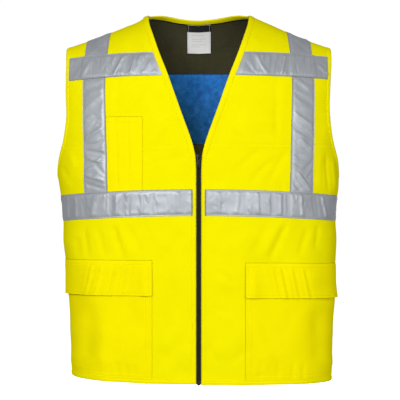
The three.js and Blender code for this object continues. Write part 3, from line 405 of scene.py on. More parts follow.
# ridges and dents as lines in the front view: from x, z, to x, z, bend, half width, rise;
# the lists panels and back move every layer of cloth that lies there
creases = {
    "panels": [
        (-219, -418, -212, -474, 0, 6, -1.8), (-194, -414, -179, -473, 0, 6, -1.6),
        (-165, -408, -144, -477, 0, 5.5, -2.6), (-154, -410, -129, -475, 0, 5, 1.2),
        (-140, -406, -106, -473, 0, 7, -1.8), (-235, -434, -229, -473, 0, 8, -1.6),
        (-20, -412, -83, -507, 0, 14, -2.2), (-20, -537, -73, -636, 0, 15, -2.2),
        (-24, -626, -85, -691, 0, 13, -1.8), (-204, -560, -217, -687, 0, 17, -3),
        (-175, -603, -183, -693, 0, 11, 2), (-169, -673, -171, -710, 0, 3.5, -1),
        (-156, -669, -154, -709, 0, 3.5, -1.2), (-138, -671, -136, -709, 0, 3.5, -1.2),
        (-121, -674, -123, -708, 0, 3.5, -1), (172, -401, 134, -482, 0, 6, -2.8),
        (155, -406, 120, -475, 0, 6, 1.2), (135, -405, 99, -473, 0, 8, -1.6),
        (210, -414, 190, -474, 0, 6, -1.8), (230, -409, 224, -461, 0, 5, -1.4),
        (65, -406, 67, -509, 0, 9, -1.3), (25, -499, 73, -531, -5, 5, -1.4),
        (21, -561, 69, -581, 4, 5, -1.2), (14, -637, 42, -675, 4, 6, -1.4),
        (86, -641, 65, -675, -4, 5, -1.2), (90, -668, 65, -705, 0, 5, -1.2),
        (97, -577, 137, -684, 0, 12, 1.8), (120, -668, 116, -708, 0, 4, -1.2),
        (151, -669, 151, -709, 0, 3.5, -1.2), (180, -672, 178, -710, 0, 3.5, -1.2),
        (200, -673, 198, -711, 0, 3.5, -1), (226, -557, 230, -693, 0, 14, -2.4),
        (-154, -129, -156, -205, 0, 6, -0.9), (-58, -209, -68, -226, 0, 4, -0.7),
        (-20, -283, -89, -293, 2, 4, -1.1), (-265, -296, -250, -322, 0, 7, -1.4),
        (-260, -329, -242, -341, 0, 6, 0.8), (-250, -267, -237, -307, 0, 6, 0.9),
        (149, -129, 147, -256, 0, 7, -1.2), (29, -221, 97, -256, 0, 9, -1),
        (124, -266, 63, -319, 4, 5, -1.5), (134, -290, 97, -338, 2, 5, -1.5),
        (141, -273, 109, -311, 0, 5, 1), (168, -269, 128, -338, 0, 5.5, -1.5),
        (153, -327, 162, -349, 0, 4, -1), (245, -268, 249, -353, 0, 3.5, -1.4),
        (259, -282, 264, -349, 0, 4, 1.5), (234, -272, 230, -345, 0, 5, 0.8),
    ],
    "chest_right": [
        (-221, -86, -250, -129, 0, 4, -1.3), (-204, -93, -229, -133, 0, 4, 0.6),
        (-150, -87, -171, -128, 0, 2.6, -1.2), (-140, -85, -163, -126, 0, 2.2, 0.8),
        (-132, -83, -142, -131, 0, 2.6, -1.3), (-119, -82, -131, -131, 0, 2.6, 0.8),
        (-92, -88, -121, -133, 0, 4, -1.1), (-106, -82, -117, -106, 0, 3, 0.5),
        (-79, -103, -98, -129, 0, 3, -0.7),
    ],
    "chest_left": [
        (99, -78, 111, -120, 0, 3, -1.1), (109, -80, 134, -127, 4, 2.5, 0.8),
        (143, -76, 135, -131, 0, 2.8, -1.2), (157, -79, 143, -131, 0, 2.5, -1.1),
        (168, -79, 157, -129, 0, 2.5, 0.8), (178, -78, 170, -130, 0, 2.6, -1.3),
        (124, -76, 120, -104, 0, 3, 0.7), (234, -79, 259, -106, 0, 3.5, -1.2),
        (228, -102, 252, -125, 0, 3, 0.8), (88, -99, 111, -127, 2, 2.5, -0.7),
    ],
    "waist_right": [
        (-260, -351, -260, -414, 0, 3, -1.4), (-248, -351, -246, -411, 0, 2.5, -1.2),
        (-235, -351, -235, -411, 0, 3.5, 0.8), (-219, -349, -217, -409, 0, 2.6, -1.4),
        (-193, -349, -204, -409, 2, 5, 0.6), (-167, -346, -167, -405, 0, 2.8, -1.4),
        (-144, -344, -142, -405, 0, 3, -1.3), (-156, -346, -157, -405, 0, 3, 0.6),
        (-83, -340, -85, -401, 6, 3, -0.9), (-111, -342, -111, -401, -4, 3, 0.6),
        (-39, -338, -39, -399, 0, 4, 0.7), (-24, -338, -30, -399, -4, 3, -0.6),
        (-125, -342, -131, -401, 4, 2.5, -0.6),
    ],
    "waist_left": [
        (19, -338, 23, -401, 4, 3, -0.7), (35, -338, 35, -401, -4, 3, 0.7),
        (55, -338, 65, -401, 6, 3, -0.8), (78, -338, 71, -401, 0, 3, 0.6),
        (92, -340, 95, -401, 4, 2.5, -0.7), (111, -340, 113, -401, 0, 3, 0.7),
        (139, -342, 141, -403, 0, 3, -1.5), (155, -342, 155, -403, 0, 3, 0.7),
        (170, -344, 172, -405, 0, 3, -1.5), (194, -345, 198, -407, 0, 3, 0.7),
        (220, -347, 226, -409, 0, 4, -1.4), (234, -347, 245, -411, 0, 2.5, 1),
        (259, -349, 259, -414, 0, 5, -1.3),
    ],
    "shoulder_right": [
        (-223, -268, -171, -279, 0, 2.2, -1.5), (-227, -309, -194, -294, -2, 2.5, -1),
        (-202, -290, -171, -319, 2, 2.5, -1.2), (-217, -282, -177, -292, 2, 3, 0.7),
        (-229, -212, -177, -170, 0, 5, -0.8), (-229, -255, -175, -222, 0, 4.5, 0.8),
        (-225, -264, -175, -252, 0, 3, -0.8), (-219, -332, -169, -347, 0, 2.5, -0.9),
        (-221, -317, -171, -332, -2, 3, 0.7), (-229, -160, -175, -141, 0, 4, -0.6),
        (-210, -48, -177, -86, 0, 5, -0.8), (-193, -47, -165, -75, 0, 4, 0.6),
    ],
    "shoulder_left": [
        (176, -155, 228, -191, 0, 3.5, -0.8), (174, -193, 226, -230, 0, 4, 0.7),
        (172, -216, 224, -253, 0, 4, -0.8), (190, -246, 222, -272, 0, 3, 0.6),
        (200, -307, 224, -280, 2, 2.6, -1.5), (206, -324, 224, -303, 0, 2.2, -1.2),
        (186, -309, 216, -351, 0, 3, 1), (174, -323, 198, -353, 0, 3, -0.8),
        (178, -128, 218, -157, 0, 4, 0.6), (178, -52, 214, -82, 0, 4, -0.7),
    ],
    "back": [
        (-150, -420, -60, -500, 10, 16, -2.5), (150, -420, 60, -500, -10, 16, -2.5),
        (-200, -560, -120, -690, 0, 18, 2.5), (30, -560, 60, -700, 0, 18, -2.5),
        (-215, -330, -120, -350, 6, 12, -2), (215, -335, 120, -352, 6, 12, -2),
        (-90, -600, -60, -700, 0, 12, -2), (150, -590, 175, -700, 0, 13, 2.2),
        (-60, -190, -140, -250, 0, 16, 2), (70, -185, 140, -260, 0, 15, -2),
        (0, -60, 3, -175, 0, 17, 4), (-52, -95, -24, -200, 0, 15, -3), (48, -90, 66, -175, 0, 14, -2.6),
        (-14, -185, 26, -250, 0, 12, -2), (-75, -50, -52, -95, 0, 11, 2),
    ],
}
ripples = {"size": 90, "rise": 0.85, "fineSize": 34, "fineRise": 0.15}


def lineField(lines, x, z):
    rise = np.zeros(np.shape(x))
    for x0, z0, x1, z1, bend, wide, high in lines:
        dx, dz = x1 - x0, z1 - z0
        long = math.hypot(dx, dz)
        s = ((x - x0) * dx + (z - z0) * dz) / long**2
        off = ((x - x0) * dz - (z - z0) * dx) / long - 4 * bend * s * (1 - s)
        rise = rise + high * bump(off, wide) * smooth(s / 0.3 + 0.1) * smooth((1 - s) / 0.3 + 0.1)
    return rise


# small unevenness without a pattern, from waves that bend each other
def crumple(x, z, seed, size, waves=6):
    draw = np.random.default_rng(seed + 20)
    total = np.zeros(np.shape(x))
    for n in range(waves):
        angle, a, b = draw.uniform(0, 2 * math.pi, 3)
        wave = size * (0.65 + 0.22 * n)
        along = (x * math.cos(angle) + z * math.sin(angle)) * 2 * math.pi / wave
        aside = (z * math.cos(angle) - x * math.sin(angle)) * 2 * math.pi / (wave * 2.4)
        total = total + np.sin(along + 1.5 * np.sin(aside + b) + a)
    return total / math.sqrt(waves)


def wrinkle(x, z, face):
    x, z = np.broadcast_arrays(np.asarray(x, float), np.asarray(z, float))
    rise = shell[face]["crease"] * lineField(creases[shell[face]["lines"]], x, z)
    rise = rise + ripples["rise"] * crumple(x, z, 3 + face, ripples["size"])
    rise = rise + ripples["fineRise"] * crumple(x, z, 8 + face, ripples["fineSize"])
    r = np.abs(roundOf(x, z))
    return rise * smooth((1 - r) / 0.12) * smooth((shoulderLine(x) - z) / 40)


def onCloth(x, z, face, high):
    normal = normalsAt(x, z, face)
    return pointsAt(x, z, face) + normal * (wrinkle(x, z, face) + high)[..., None], normal


def offsetGrid(x, z, face, low, high, extra=0.0):
    base, normal = pointsAt(x, z, face), normalsAt(x, z, face)
    lift = (wrinkle(x, z, face) + extra)[..., None]
    return base + normal * (lift + high), base + normal * (lift + low), normal


# the cloths by name, for meshes from grids of points
material = {}


def meshFrom(name, vertices, faces, uv, slot):
    mesh = bpy.data.meshes.new(name)
    mesh.from_pydata((np.asarray(vertices) * 0.001).tolist(), [], faces)
    layer = mesh.uv_layers.new(name="cloth")
    corners = np.empty(len(mesh.loops), np.int32)
    mesh.loops.foreach_get("vertex_index", corners)
    layer.data.foreach_set("uv", (np.asarray(uv)[corners] * 0.001).ravel())
    mesh.polygons.foreach_set("use_smooth", [True] * len(mesh.polygons))
    mesh.materials.append(material[slot])
    mesh.validate()
    piece = bpy.data.objects.new(name, mesh)
    scene.collection.objects.link(piece)
    return piece


def lengths(grid, straight):
    across = np.linalg.norm(np.diff(grid, axis=1), axis=-1)
    up = np.linalg.norm(np.diff(grid, axis=0), axis=-1)
    u = np.concatenate([np.zeros((grid.shape[0], 1)), np.cumsum(across, 1)], 1)
    v = np.concatenate([np.zeros((1, grid.shape[1])), np.cumsum(up, 0)], 0)
    if straight:
        v = v * 0 + v.mean(1, keepdims=True)
    return np.stack([u - u.mean(1, keepdims=True), v], -1)


def quads(rows, columns, start, flip):
    j, i = np.mgrid[0 : rows - 1, 0 : columns - 1]
    a = start + j * columns + i
    b, c, d = a + 1, a + columns + 1, a + columns
    order = [a, b, c, d] if not flip else [a, d, c, b]
    return np.stack([o.ravel() for o in order], -1).tolist()


# a closed sheet between an outer and an inner grid, with a rounded rim
def closedSheet(name, outer, inner, slot, rim=0.35, straight=False):
    rows, columns = outer.shape[:2]
    count = rows * columns
    around = [j * columns for j in range(rows)]
    around += [(rows - 1) * columns + i for i in range(1, columns)]
    around += [j * columns + columns - 1 for j in range(rows - 2, -1, -1)]
    around += range(columns - 2, 0, -1)
    flatOuter, flatInner = outer.reshape(-1, 3), inner.reshape(-1, 3)
    middle = (flatOuter[around] + flatInner[around]) / 2
    ring = np.roll(middle, -1, 0) - np.roll(middle, 1, 0)
    thick = flatOuter[around] - flatInner[around]
    aside = unit(np.cross(ring, thick))
    j, i = rows // 2, columns // 2
    centre = outer[j, i]
    aside *= np.median(np.sign(np.sum(aside * (middle - centre), -1)))
    middle = middle + aside * np.linalg.norm(thick, axis=-1, keepdims=True) * rim
    facing = np.cross(outer[j, i + 1] - centre, outer[j + 1, i] - centre)
    flip = np.dot(facing, centre - inner[j, i]) < 0
    faces = quads(rows, columns, 0, flip) + quads(rows, columns, count, not flip)
    total = len(around)
    for k in range(total):
        n = (k + 1) % total
        top, mid = (around[k], around[n]), (2 * count + k, 2 * count + n)
        low = (count + around[k], count + around[n])
        for (p, q), (r, s) in ((top, mid), (mid, low)):
            faces.append([p, q, s, r] if flip else [p, r, s, q])
    uv = lengths(outer, straight).reshape(-1, 2)
    uv = np.concatenate([uv, uv, uv[around]])
    return meshFrom(name, np.concatenate([flatOuter, flatInner, middle]), faces, uv, slot)


def runAlong(line):
    return np.concatenate([[0], np.cumsum(np.linalg.norm(np.diff(line, axis=0), axis=-1))])


def resampled(values, run, at):
    return np.stack([np.interp(at, run, values[:, k]) for k in range(3)], -1)


# a strip along lines a (the edge) and b, with a section of (share from a to b, height) points;
# sag is how far b stands off the curved body, taken back towards it
def foldedStrip(name, a, b, normals, section, slot, sag, closed=False):
    across, high = np.array(section, float).T
    rise = high[None, :] - sag[:, None] * across[None, :] ** 2
    grid = a[:, None] + (b - a)[:, None] * across[None, :, None] + normals[:, None] * rise[..., None]
    rows, columns = grid.shape[:2]
    p, q, s = grid[0, 0], grid[1, 0], grid[0, 1]
    flip = np.dot(np.cross(q - p, s - p), p - grid[0].mean(0)) < 0
    faces = []
    for j in range(rows if closed else rows - 1):
        n = (j + 1) % rows
        for i in range(columns):
            m = (i + 1) % columns
            quad = [j * columns + i, n * columns + i, n * columns + m, j * columns + m]
            faces.append(quad[::-1] if flip else quad)
    if not closed:
        first, last = list(range(columns)), [(rows - 1) * columns + i for i in range(columns)]
        faces += [first[::-1], last] if flip else [first, last[::-1]]
    along = runAlong(a)
    wide = np.linalg.norm(b - a, axis=-1).mean()
    aside = across * wide + np.sign(high - 0.7) * 20  # the inner face lies apart from the outer one
    uv = np.stack(np.broadcast_arrays(along[:, None], aside[None, :]), -1)
    return meshFrom(name, grid.reshape(-1, 3), faces, uv.reshape(-1, 2), slot)


def nearest(values, wanted):
    return np.argmin(abs(values - wanted))


def areaOf(grid):
    a, b, d = grid[:-1, :-1], grid[:-1, 1:], grid[1:, :-1]
    return float(np.linalg.norm(np.cross(b - a, d - a), axis=-1).sum()) * 1e-6


def declare(piece, node, flat, area=None):
    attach(piece, "vest")
    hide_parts(node)


# stitches: each a short low thread with its ends sunk into the cloth
thread = {"every": 3.4, "long": 2.8, "thick": 0.3, "sunk": 0.14}
stitchRings = [(-0.5, 0.5, -1.2), (-0.3, 1, 0.5), (0.3, 1, 0.5), (0.5, 0.5, -1.2)]
sewn = {}


def sew(group, line, normals):
    run, reach = runAlong(line), thread["long"] / 2
    middle = np.arange(thread["every"] / 2, run[-1], thread["every"])
    ahead = unit(resampled(line, run, middle + reach) - resampled(line, run, middle - reach))
    centre, up = resampled(line, run, middle), unit(resampled(normals, run, middle))
    sewn.setdefault(group, []).append((centre, ahead, up))


def makeStitches(group, slot):
    centre, ahead, up = (np.concatenate(parts) for parts in zip(*sewn[group]))
    side = unit(np.cross(ahead, up))
    points = []
    for along, size, high in stitchRings:
        for a, b in ((1, 0), (0, 1), (-1, 0), (0, -1)):
            across = (side * a + up * b) * size * thread["thick"]
            points.append(centre + ahead * along * thread["long"] + across + up * high * thread["sunk"])
    points = np.stack(points, 1)
    one = [[0, 1, 2, 3], [15, 14, 13, 12]]
    for k in range(0, 12, 4):
        one += [[k + m, k + 4 + m, k + 4 + (m + 1) % 4, k + (m + 1) % 4] for m in range(4)]
    faces = (np.array(one)[None] + 16 * np.arange(len(points))[:, None, None]).reshape(-1, 4).tolist()
    points = points.reshape(-1, 3)
    piece = meshFrom(group, points, faces, points[:, [0, 2]], slot)
    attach(piece, "vest")


# the cloths: weave is the pitch in millimetres, deep the colour between its threads, and cloud
# the size of its unevenness in metres
cloths = {
    "yellow_fabric": dict(
        color=(0.875, 0.805, 0.0008), shade=(0.835, 0.765, 0.0006), rough=1.0, weave=1.1, relief=0.12,
    ),
    "yellow_double": dict(
        color=(0.91, 0.805, 0.0008), shade=(0.88, 0.775, 0.0006), rough=1.0, weave=1.1, relief=0.12,
    ),
    "yellow_binding": dict(
        color=(0.90, 0.815, 0.0015), shade=(0.86, 0.77, 0.001), rough=1.0, weave=1.6, relief=0.2,
    ),
    "yellow_thread": dict(
        color=(0.88, 0.79, 0.001), shade=(0.85, 0.76, 0.001), rough=0.8, weave=0.8, relief=0.2,
    ),
    "reflective_tape": dict(
        color=(0.45, 0.475, 0.505), shade=(0.38, 0.405, 0.435),
        rough=0.52, weave=0.7, relief=0.06, metal=0.5,
    ),
    "grey_thread": dict(
        color=(0.36, 0.38, 0.40), shade=(0.32, 0.34, 0.36), rough=0.7, weave=0.8, relief=0.2,
    ),
    "mesh": dict(
        color=(0.034, 0.031, 0.016), shade=(0.024, 0.022, 0.011),
        rough=0.9, weave=2.7, relief=0.5, deep=(0.15, 0.14, 0.08),
        # painted light: below a height the lining turns to a paler colour, standing in for light on the
        # low inside of the back
        low={"from": -0.235, "to": -0.25, "color": (0.13, 0.12, 0.055)},
    ),
    "cooling_fabric": dict(
        color=(0.020, 0.27, 0.90), shade=(0.004, 0.10, 0.44),
        rough=0.62, weave=1.9, relief=0.3, shine=0.25, cloud=0.013,
    ),
    "blue_thread": dict(
        color=(0.10, 0.40, 0.80), shade=(0.08, 0.34, 0.72), rough=0.6, weave=0.8, relief=0.1,
    ),
    "zip_black": dict(
        color=(0.015, 0.016, 0.013), shade=(0.021, 0.022, 0.018),
        rough=0.65, weave=0.9, relief=0.2, shine=0.2,
    ),
    "label": dict(
        color=(0.94, 0.945, 0.985), shade=(0.90, 0.905, 0.95),
        rough=0.5, weave=0.6, relief=0.06, shine=0.2,
    ),
    "label_black": dict(
        color=(0.016, 0.016, 0.018), shade=(0.03, 0.03, 0.033),
        rough=0.6, weave=0.6, relief=0.1, shine=0.2,
    ),
    "white_thread": dict(
        color=(0.75, 0.76, 0.78), shade=(0.7, 0.71, 0.73), rough=0.6, weave=0.8, relief=0.1,
    ),
    "zip_metal": dict(
        color=(0.012, 0.012, 0.013), shade=(0.007, 0.007, 0.008),
        rough=0.3, weave=3, relief=0.0, shine=0.14,
    ),
}


def addNode(nodes, kind, values=None):
    node = nodes.new("ShaderNode" + kind)
    for socket, value in (values or {}).items():
        node.inputs[socket].default_value = value
    return node


def colorMix(nodes, links, factor, a, b):
    tint = nodes.new("ShaderNodeMix")
    tint.data_type = "RGBA"
    links.new(factor, tint.inputs["Factor"])
    for socket, value in (("A", a), ("B", b)):
        if isinstance(value, tuple):
            tint.inputs[socket].default_value = (*value, 1)
        else:
            links.new(value, tint.inputs[socket])
    return tint.outputs["Result"]


def makeCloth(
    name, color, shade, rough, weave, relief, shine=0.0, metal=0.0, cloud=0.04, low=None, deep=None
):
    m = bpy.data.materials.new(name)
    m.use_nodes = True
    nodes, links = m.node_tree.nodes, m.node_tree.links
    shader = nodes["Principled BSDF"]
    place = addNode(nodes, "UVMap")
    place.uv_map = "cloth"
    turn = addNode(nodes, "Mapping", {"Rotation": (0, 0, math.radians(45))})
    clouds = addNode(nodes, "TexNoise", {"Scale": 1 / cloud, "Detail": 6, "Distortion": 0.6})
    for user in (turn, clouds):
        links.new(place.outputs["UV"], user.inputs["Vector"])
    spread = addNode(nodes, "MapRange", {"From Min": 0.32, "From Max": 0.68})
    links.new(clouds.outputs["Fac"], spread.inputs["Value"])
    both = addNode(nodes, "Math")
    both.operation = "MULTIPLY"
    for n, direction in enumerate("XY"):
        wave = addNode(nodes, "TexWave", {"Scale": 314 / weave})
        wave.bands_direction = direction
        links.new(turn.outputs["Vector"], wave.inputs["Vector"])
        links.new(wave.outputs["Fac"], both.inputs[n])
    tone = colorMix(nodes, links, spread.outputs["Result"], color, shade)
    # painted light: below a height the tone turns paler, standing in for light falling on the cloth
    # there
    if low:  # paler below a height
        height, parts = addNode(nodes, "TexCoord"), addNode(nodes, "SeparateXYZ")
        paintedLight = addNode(nodes, "MapRange", {"From Min": low["from"], "From Max": low["to"]})
        links.new(height.outputs["Object"], parts.inputs["Vector"])
        links.new(parts.outputs["Z"], paintedLight.inputs["Value"])
        tone = colorMix(nodes, links, paintedLight.outputs["Result"], tone, low["color"])
    deep = deep or tuple(0.86 * c for c in color)
    links.new(colorMix(nodes, links, both.outputs["Value"], tone, deep), shader.inputs["Base Color"])
    raised = addNode(nodes, "Bump", {"Strength": relief, "Distance": 0.0003})
    links.new(both.outputs["Value"], raised.inputs["Height"])
    links.new(raised.outputs["Normal"], shader.inputs["Normal"])
    worn = addNode(nodes, "MapRange", {"To Min": max(rough - 0.06, 0), "To Max": min(rough + 0.06, 1)})
    links.new(clouds.outputs["Fac"], worn.inputs["Value"])
    links.new(worn.outputs["Result"], shader.inputs["Roughness"])
    shader.inputs["Specular IOR Level"].default_value = shine
    shader.inputs["Metallic"].default_value = metal
    return m


for name, facts in cloths.items():
    material[name] = makeCloth(name, **facts)
print("cloths are mixed")

panel = {
    "low": 0.6, "high": 1.5, "rightCut": (345, 770), "leftCut": (350, 775), "backCut": (695, 770),
    "underNeck": 10.5, "underNeckRun": 30, "underArmhole": 6.5, "zipStitch": 8.2, "stitchEnd": -697,
    "sideStitches": (0.986, 0.972), "rolled": 0.8, "rollStart": 16, "seam": {-1: -263, 1: -260},
    "seamDeep": 0.8, "seamWide": 1.6, "seamRidge": 0.6,
}


def frontPanel(name, side):
    zOf = panelRow(-1)

    def underBinding(z):
        under = smooth((z - form["vBottom"] - 1) / panel["underNeckRun"])
        return frontEdge(z) + panel["underNeck"] * under

    inner = lambda t: meetEdge(underBinding, zOf, t, side)
    outer = insideArmhole(zOf, side, -1, panel["underArmhole"])
    x, z = layGrid(zOf, inner, outer, shares(96, (0.015,), 0.03, 3), shares(204, (0.61,), 0.045, 3))
    past = np.abs(x) - frontEdge(z)
    below = smooth((form["vBottom"] + panel["rollStart"] - z) / panel["rollStart"])
    roll = panel["rolled"] * bump(past - 2.4, 2.2) - 0.55 * bump(past - panel["zipStitch"], 1.3)
    off = z - panel["seam"][side]
    lift = roll * below - panel["seamDeep"] * bump(off, panel["seamWide"])
    lift = lift + panel["seamRidge"] * bump(off + 3.2, 2)
    top, bottom, _ = offsetGrid(x, z, -1, panel["low"], panel["high"], lift)
    piece = closedSheet("front_cloth_" + name, top, bottom, "yellow_fabric")
    declare(piece, "front_panel_" + name, panel[name + "Cut"], areaOf(top))
    z = np.linspace(form["vBottom"] - 4, panel["stitchEnd"], 300)
    x = side * (frontEdge(z) + panel["zipStitch"])
    sew("panel_stitching", *onCloth(x, z, -1, panel["high"] - 0.45))
    z = np.linspace(form["underarm"] - 12, panel["stitchEnd"], 300)
    for r in panel["sideStitches"]:
        sew("panel_stitching", *onCloth(xOfRound(side * r, z), z, 1, panel["high"]))
    x = side * np.linspace(form["neck"] + 12, form["tip"] - 12, 120)
    sew("panel_stitching", *onCloth(x, shoulderLine(x) - 0.6, 1, panel["high"]))


def backPanel():
    zOf = panelRow(1)
    x, z = layGrid(zOf, *backArmholes(zOf, panel["underArmhole"]), shares(142), shares(160))
    r = 1 - np.abs(roundOf(x, z))
    seam = 0.5 * bump(r - 0.009, 0.006) - 0.35 * bump(r - 0.021, 0.006)
    lift = seam * smooth((form["underarm"] - z) / 20)
    top, bottom, _ = offsetGrid(x, z, 1, panel["low"], panel["high"], lift)
    piece = closedSheet("back_cloth", top, bottom, "yellow_fabric")
    declare(piece, "back_panel", panel["backCut"], areaOf(top))


for name, side in sides:
    frontPanel(name, side)
backPanel()
print("panels are cut")

# the section of a folded binding: its outer face, the fold, its inner face and back inside
binding = {
    "neck": 11.3, "armhole": 9, "hem": 9, "stitch": 0.8, "stitchHigh": 2.12, "step": 3.2, "zipEnd": 20,
    "taper": 34, "sag": 2.5,
    "section": [
        (1, 1.1), (0.985, 1.95), (0.9, 2.4), (0.8, 2.05), (0.7, 2.45), (0.45, 2.6), (0.15, 2.4),
        (0.03, 1.8), (0, 0.75), (0.03, -0.3), (0.15, -0.85), (0.45, -0.95), (0.7, -0.9), (0.8, -0.65),
        (0.9, -0.85), (0.98, -0.8), (1, -0.3), (0.85, -0.3), (0.15, -0.3), (0.08, 0.75), (0.15, 1.8),
        (0.85, 1.7),
    ],
}


def softened(values, rounds, closed):
    for _ in range(rounds):
        around = (np.roll(values, 1, 0) + np.roll(values, -1, 0)) / 2
        if not closed:
            around[[0, -1]] = values[[0, -1]]
        values = (values + around) / 2
    return values


def bindEdge(name, node, line, normals, wide, inward, closed=False, taper=0.0):
    if closed:
        line, normals = np.concatenate([line, line[:1]]), np.concatenate([normals, normals[:1]])
    run = runAlong(line)
    at = np.linspace(0, run[-1], int(run[-1] / binding["step"]))
    at = at[:-1] if closed else at
    line, normals = resampled(line, run, at), resampled(normals, run, at)
    line, normals = softened(line, 4, closed), unit(softened(normals, 14, closed))
    ahead = np.roll(line, -1, 0) - np.roll(line, 1, 0) if closed else np.gradient(line, axis=0)
    away = unit(softened(unit(np.cross(normals, ahead)), 14, closed)) * inward
    full = smooth(np.minimum(at, run[-1] - at) / taper)[:, None] if taper else 1.0 + 0 * at[:, None]
    away, thick = away * wide * mix(0.5, 1, full), normals * mix(0.5, 1, full)
    x, y, z = (line + away).T
    standsOff = [(y - depthAt(x, z, face)) * normals[:, 1] - wrinkle(x, z, face) for face in (-1, 1)]
    sag = np.clip(np.where(y < 0, *standsOff), -0.6, binding["sag"])
    shape = (binding["section"], "yellow_binding", sag, closed)
    piece = foldedStrip(name, line, line + away, thick, *shape)
    declare(piece, node, (run[-1], 2 * wide + 2))
    high = binding["stitchHigh"] - sag[:, None] * binding["stitch"] ** 2
    sew("binding_stitching", line + away * binding["stitch"] + thick * high, normals)


def bindNeck():
    z = (form["vBottom"] - binding["zipEnd"]) * (1 - np.linspace(0, 1, 120) ** 0.9)
    rightLine, rightNormal = onCloth(-frontEdge(z), z, -1, 0)
    leftLine, leftNormal = onCloth(frontEdge(z), z, -1, 0)
    x = form["neck"] * np.sin(np.linspace(-1, 1, 81)[1:-1] * half)
    backLine, backNormal = onCloth(x, napeLine(x), 1, 0)
    line = np.concatenate([rightLine, backLine, leftLine[::-1]])
    normals = np.concatenate([rightNormal, backNormal, leftNormal[::-1]])
    wide, taper = binding["neck"], binding["taper"]
    bindEdge("neck_edge_binding", "neck_binding", line, normals, wide, 1, taper=taper)


def bindArmhole(name, side):
    z = form["underarm"] + form["armhole"] * np.linspace(0, 1, 70) ** 1.3
    x = side * sideEdge(z, side)
    z = np.minimum(z, shoulderLine(x))
    front, back = (onCloth(x, z, face, 0) for face in (-1, 1))
    line, normals = (np.concatenate([a, b[::-1][1:-1]]) for a, b in zip(front, back))
    piece, node = "armhole_edge_binding_" + name, "armhole_binding_" + name
    bindEdge(piece, node, line, normals, binding["armhole"], side, True)


def bindHem():
    lines = []
    for side, face, order in ((-1, -1, 1), (0, 1, 1), (1, -1, -1)):
        zOf = lambda x, t: rowAt(levels["hem"], x, face) + 0 * t
        if side:
            edge = meetEdge(frontEdge, zOf, np.zeros((1, 1)), side)[0, 0]
            r = np.linspace(roundOf(edge, zOf(edge, 0)), side, 120)
        else:
            r = np.linspace(-1, 1, 260)[1:-1]
        x = r * 250  # a first guess, brought nearer below
        for _ in range(6):
            x = xOfRound(r, zOf(x, 0))
        line, normal = onCloth(x, zOf(x, 0), face, 0)
        lines.append((line[::order], normal[::order]))
    line, normals = (np.concatenate(parts) for parts in zip(*lines))
    bindEdge("hem_edge_binding", "hem_binding", line, normals, binding["hem"], -1)


bindNeck()
for name, side in sides:
    bindArmhole(name, side)
bindHem()
print("edges are bound")

# reflective tape: sewn down along both edges and a little loose between them
tape = {
    "wide": 50, "low": 1.62, "high": 2.3, "over": 1.15, "stitch": 2.6, "loft": 0.9, "folds": 2.6,
    "crumple": 0.2, "crumpleSize": 30, "pucker": 0.13, "every": 7.5, "everyOther": 4.7, "groove": 0.25,
    "tucked": 0.45, "waistCut": (345, 50), "backWaistCut": (690, 50), "chestCut": (210, 50),
    "upperBackCut": (540, 50), "shoulderCut": (50, 790), "end": 2, "fromZip": 7, "fromNeck": 10.5,
    "turn": 0.55, "lean": 0.35,
}
tapeRows = shares(34, (0.052, 0.948), 0.035, 3)
tapeSeams = (tape["stitch"] / tape["wide"], 1 - tape["stitch"] / tape["wide"])


def tapeLift(x, z, run, across, seed, lines):
    edge = np.minimum(across, tape["wide"] - across)
    free = smooth((edge - tape["stitch"] + 0.4) / 6)
    lift = tape["loft"] + tape["folds"] * lineField(lines, x, z)
    lift = lift + tape["crumple"] * crumple(x, z, seed, tape["crumpleSize"])
    turns = run * 2 * math.pi
    wave = 0.5 * np.sin(turns / tape["everyOther"] + 2 * seed + across / 9)
    wave = np.sin(turns / tape["every"] + seed) + wave
    gather = tape["pucker"] * (1 + wave) * bump(edge - 6, 4)
    return np.maximum(free * lift + gather, 0) - tape["groove"] * bump(edge - tape["stitch"], 0.9)


broad = dict(long=(15, 32), wide=(3.5, 8), rise=(-0.7, -0.5, 0.45))
fine = dict(long=(7, 20), wide=(1.4, 2.8), rise=(-0.26, -0.2, 0.2, 0.28))


def randomCreases(seed, count, area, steep, long, wide, rise):
    draw = np.random.default_rng(seed + 20)
    lines = []
    for _ in range(count):
        x, z = draw.uniform(area[0], area[1]), draw.uniform(area[2], area[3])
        angle, reach = draw.normal(steep, 0.42), draw.uniform(*long)
        dx, dz = reach * math.cos(angle), reach * math.sin(angle)
        kind = (draw.uniform(-3, 3), draw.uniform(*wide), draw.choice(rise))
        lines.append((x - dx, z + dz, x + dx, z - dz, *kind))
    return lines


def addTape(name, node, x, z, face, cut, us, seed, lines, lift=0.0, tucked=False):
    run, across = us[None, :] * cut[0], tapeRows[:, None] * tape["wide"]
    lift = lift + tapeLift(x, z, run, across, seed, lines)
    if tucked:  # both ends go under a binding
        free = smooth((np.minimum(run, cut[0] - run) - 3) / 7)
        lift = lift * free - tape["tucked"] * (1 - free)
    top, bottom, normal = offsetGrid(x, z, face, tape["low"], tape["high"], lift)
    piece = closedSheet(name, top, bottom, "reflective_tape", 0.2)
    declare(piece, node, cut)
    for share in tapeSeams:
        row = nearest(tapeRows, share)
        sew("tape_stitching", top[row], normal[row])


# the chest and upper back tapes lie over the shoulder tapes, which are pressed flat there
def overShoulderTape(x, z, face):
    inner = tapeInner(z)
    start, sameRow = np.where(x < 0, -inner, inner), lambda a, b: z + 0 * a
    outer = np.abs(stepRound(start, tape["wide"], sameRow, 0 * x, face))
    away = np.maximum(inner - np.abs(x), np.abs(x) - outer)
    return tape["over"] * smooth((5 - away) / 5)


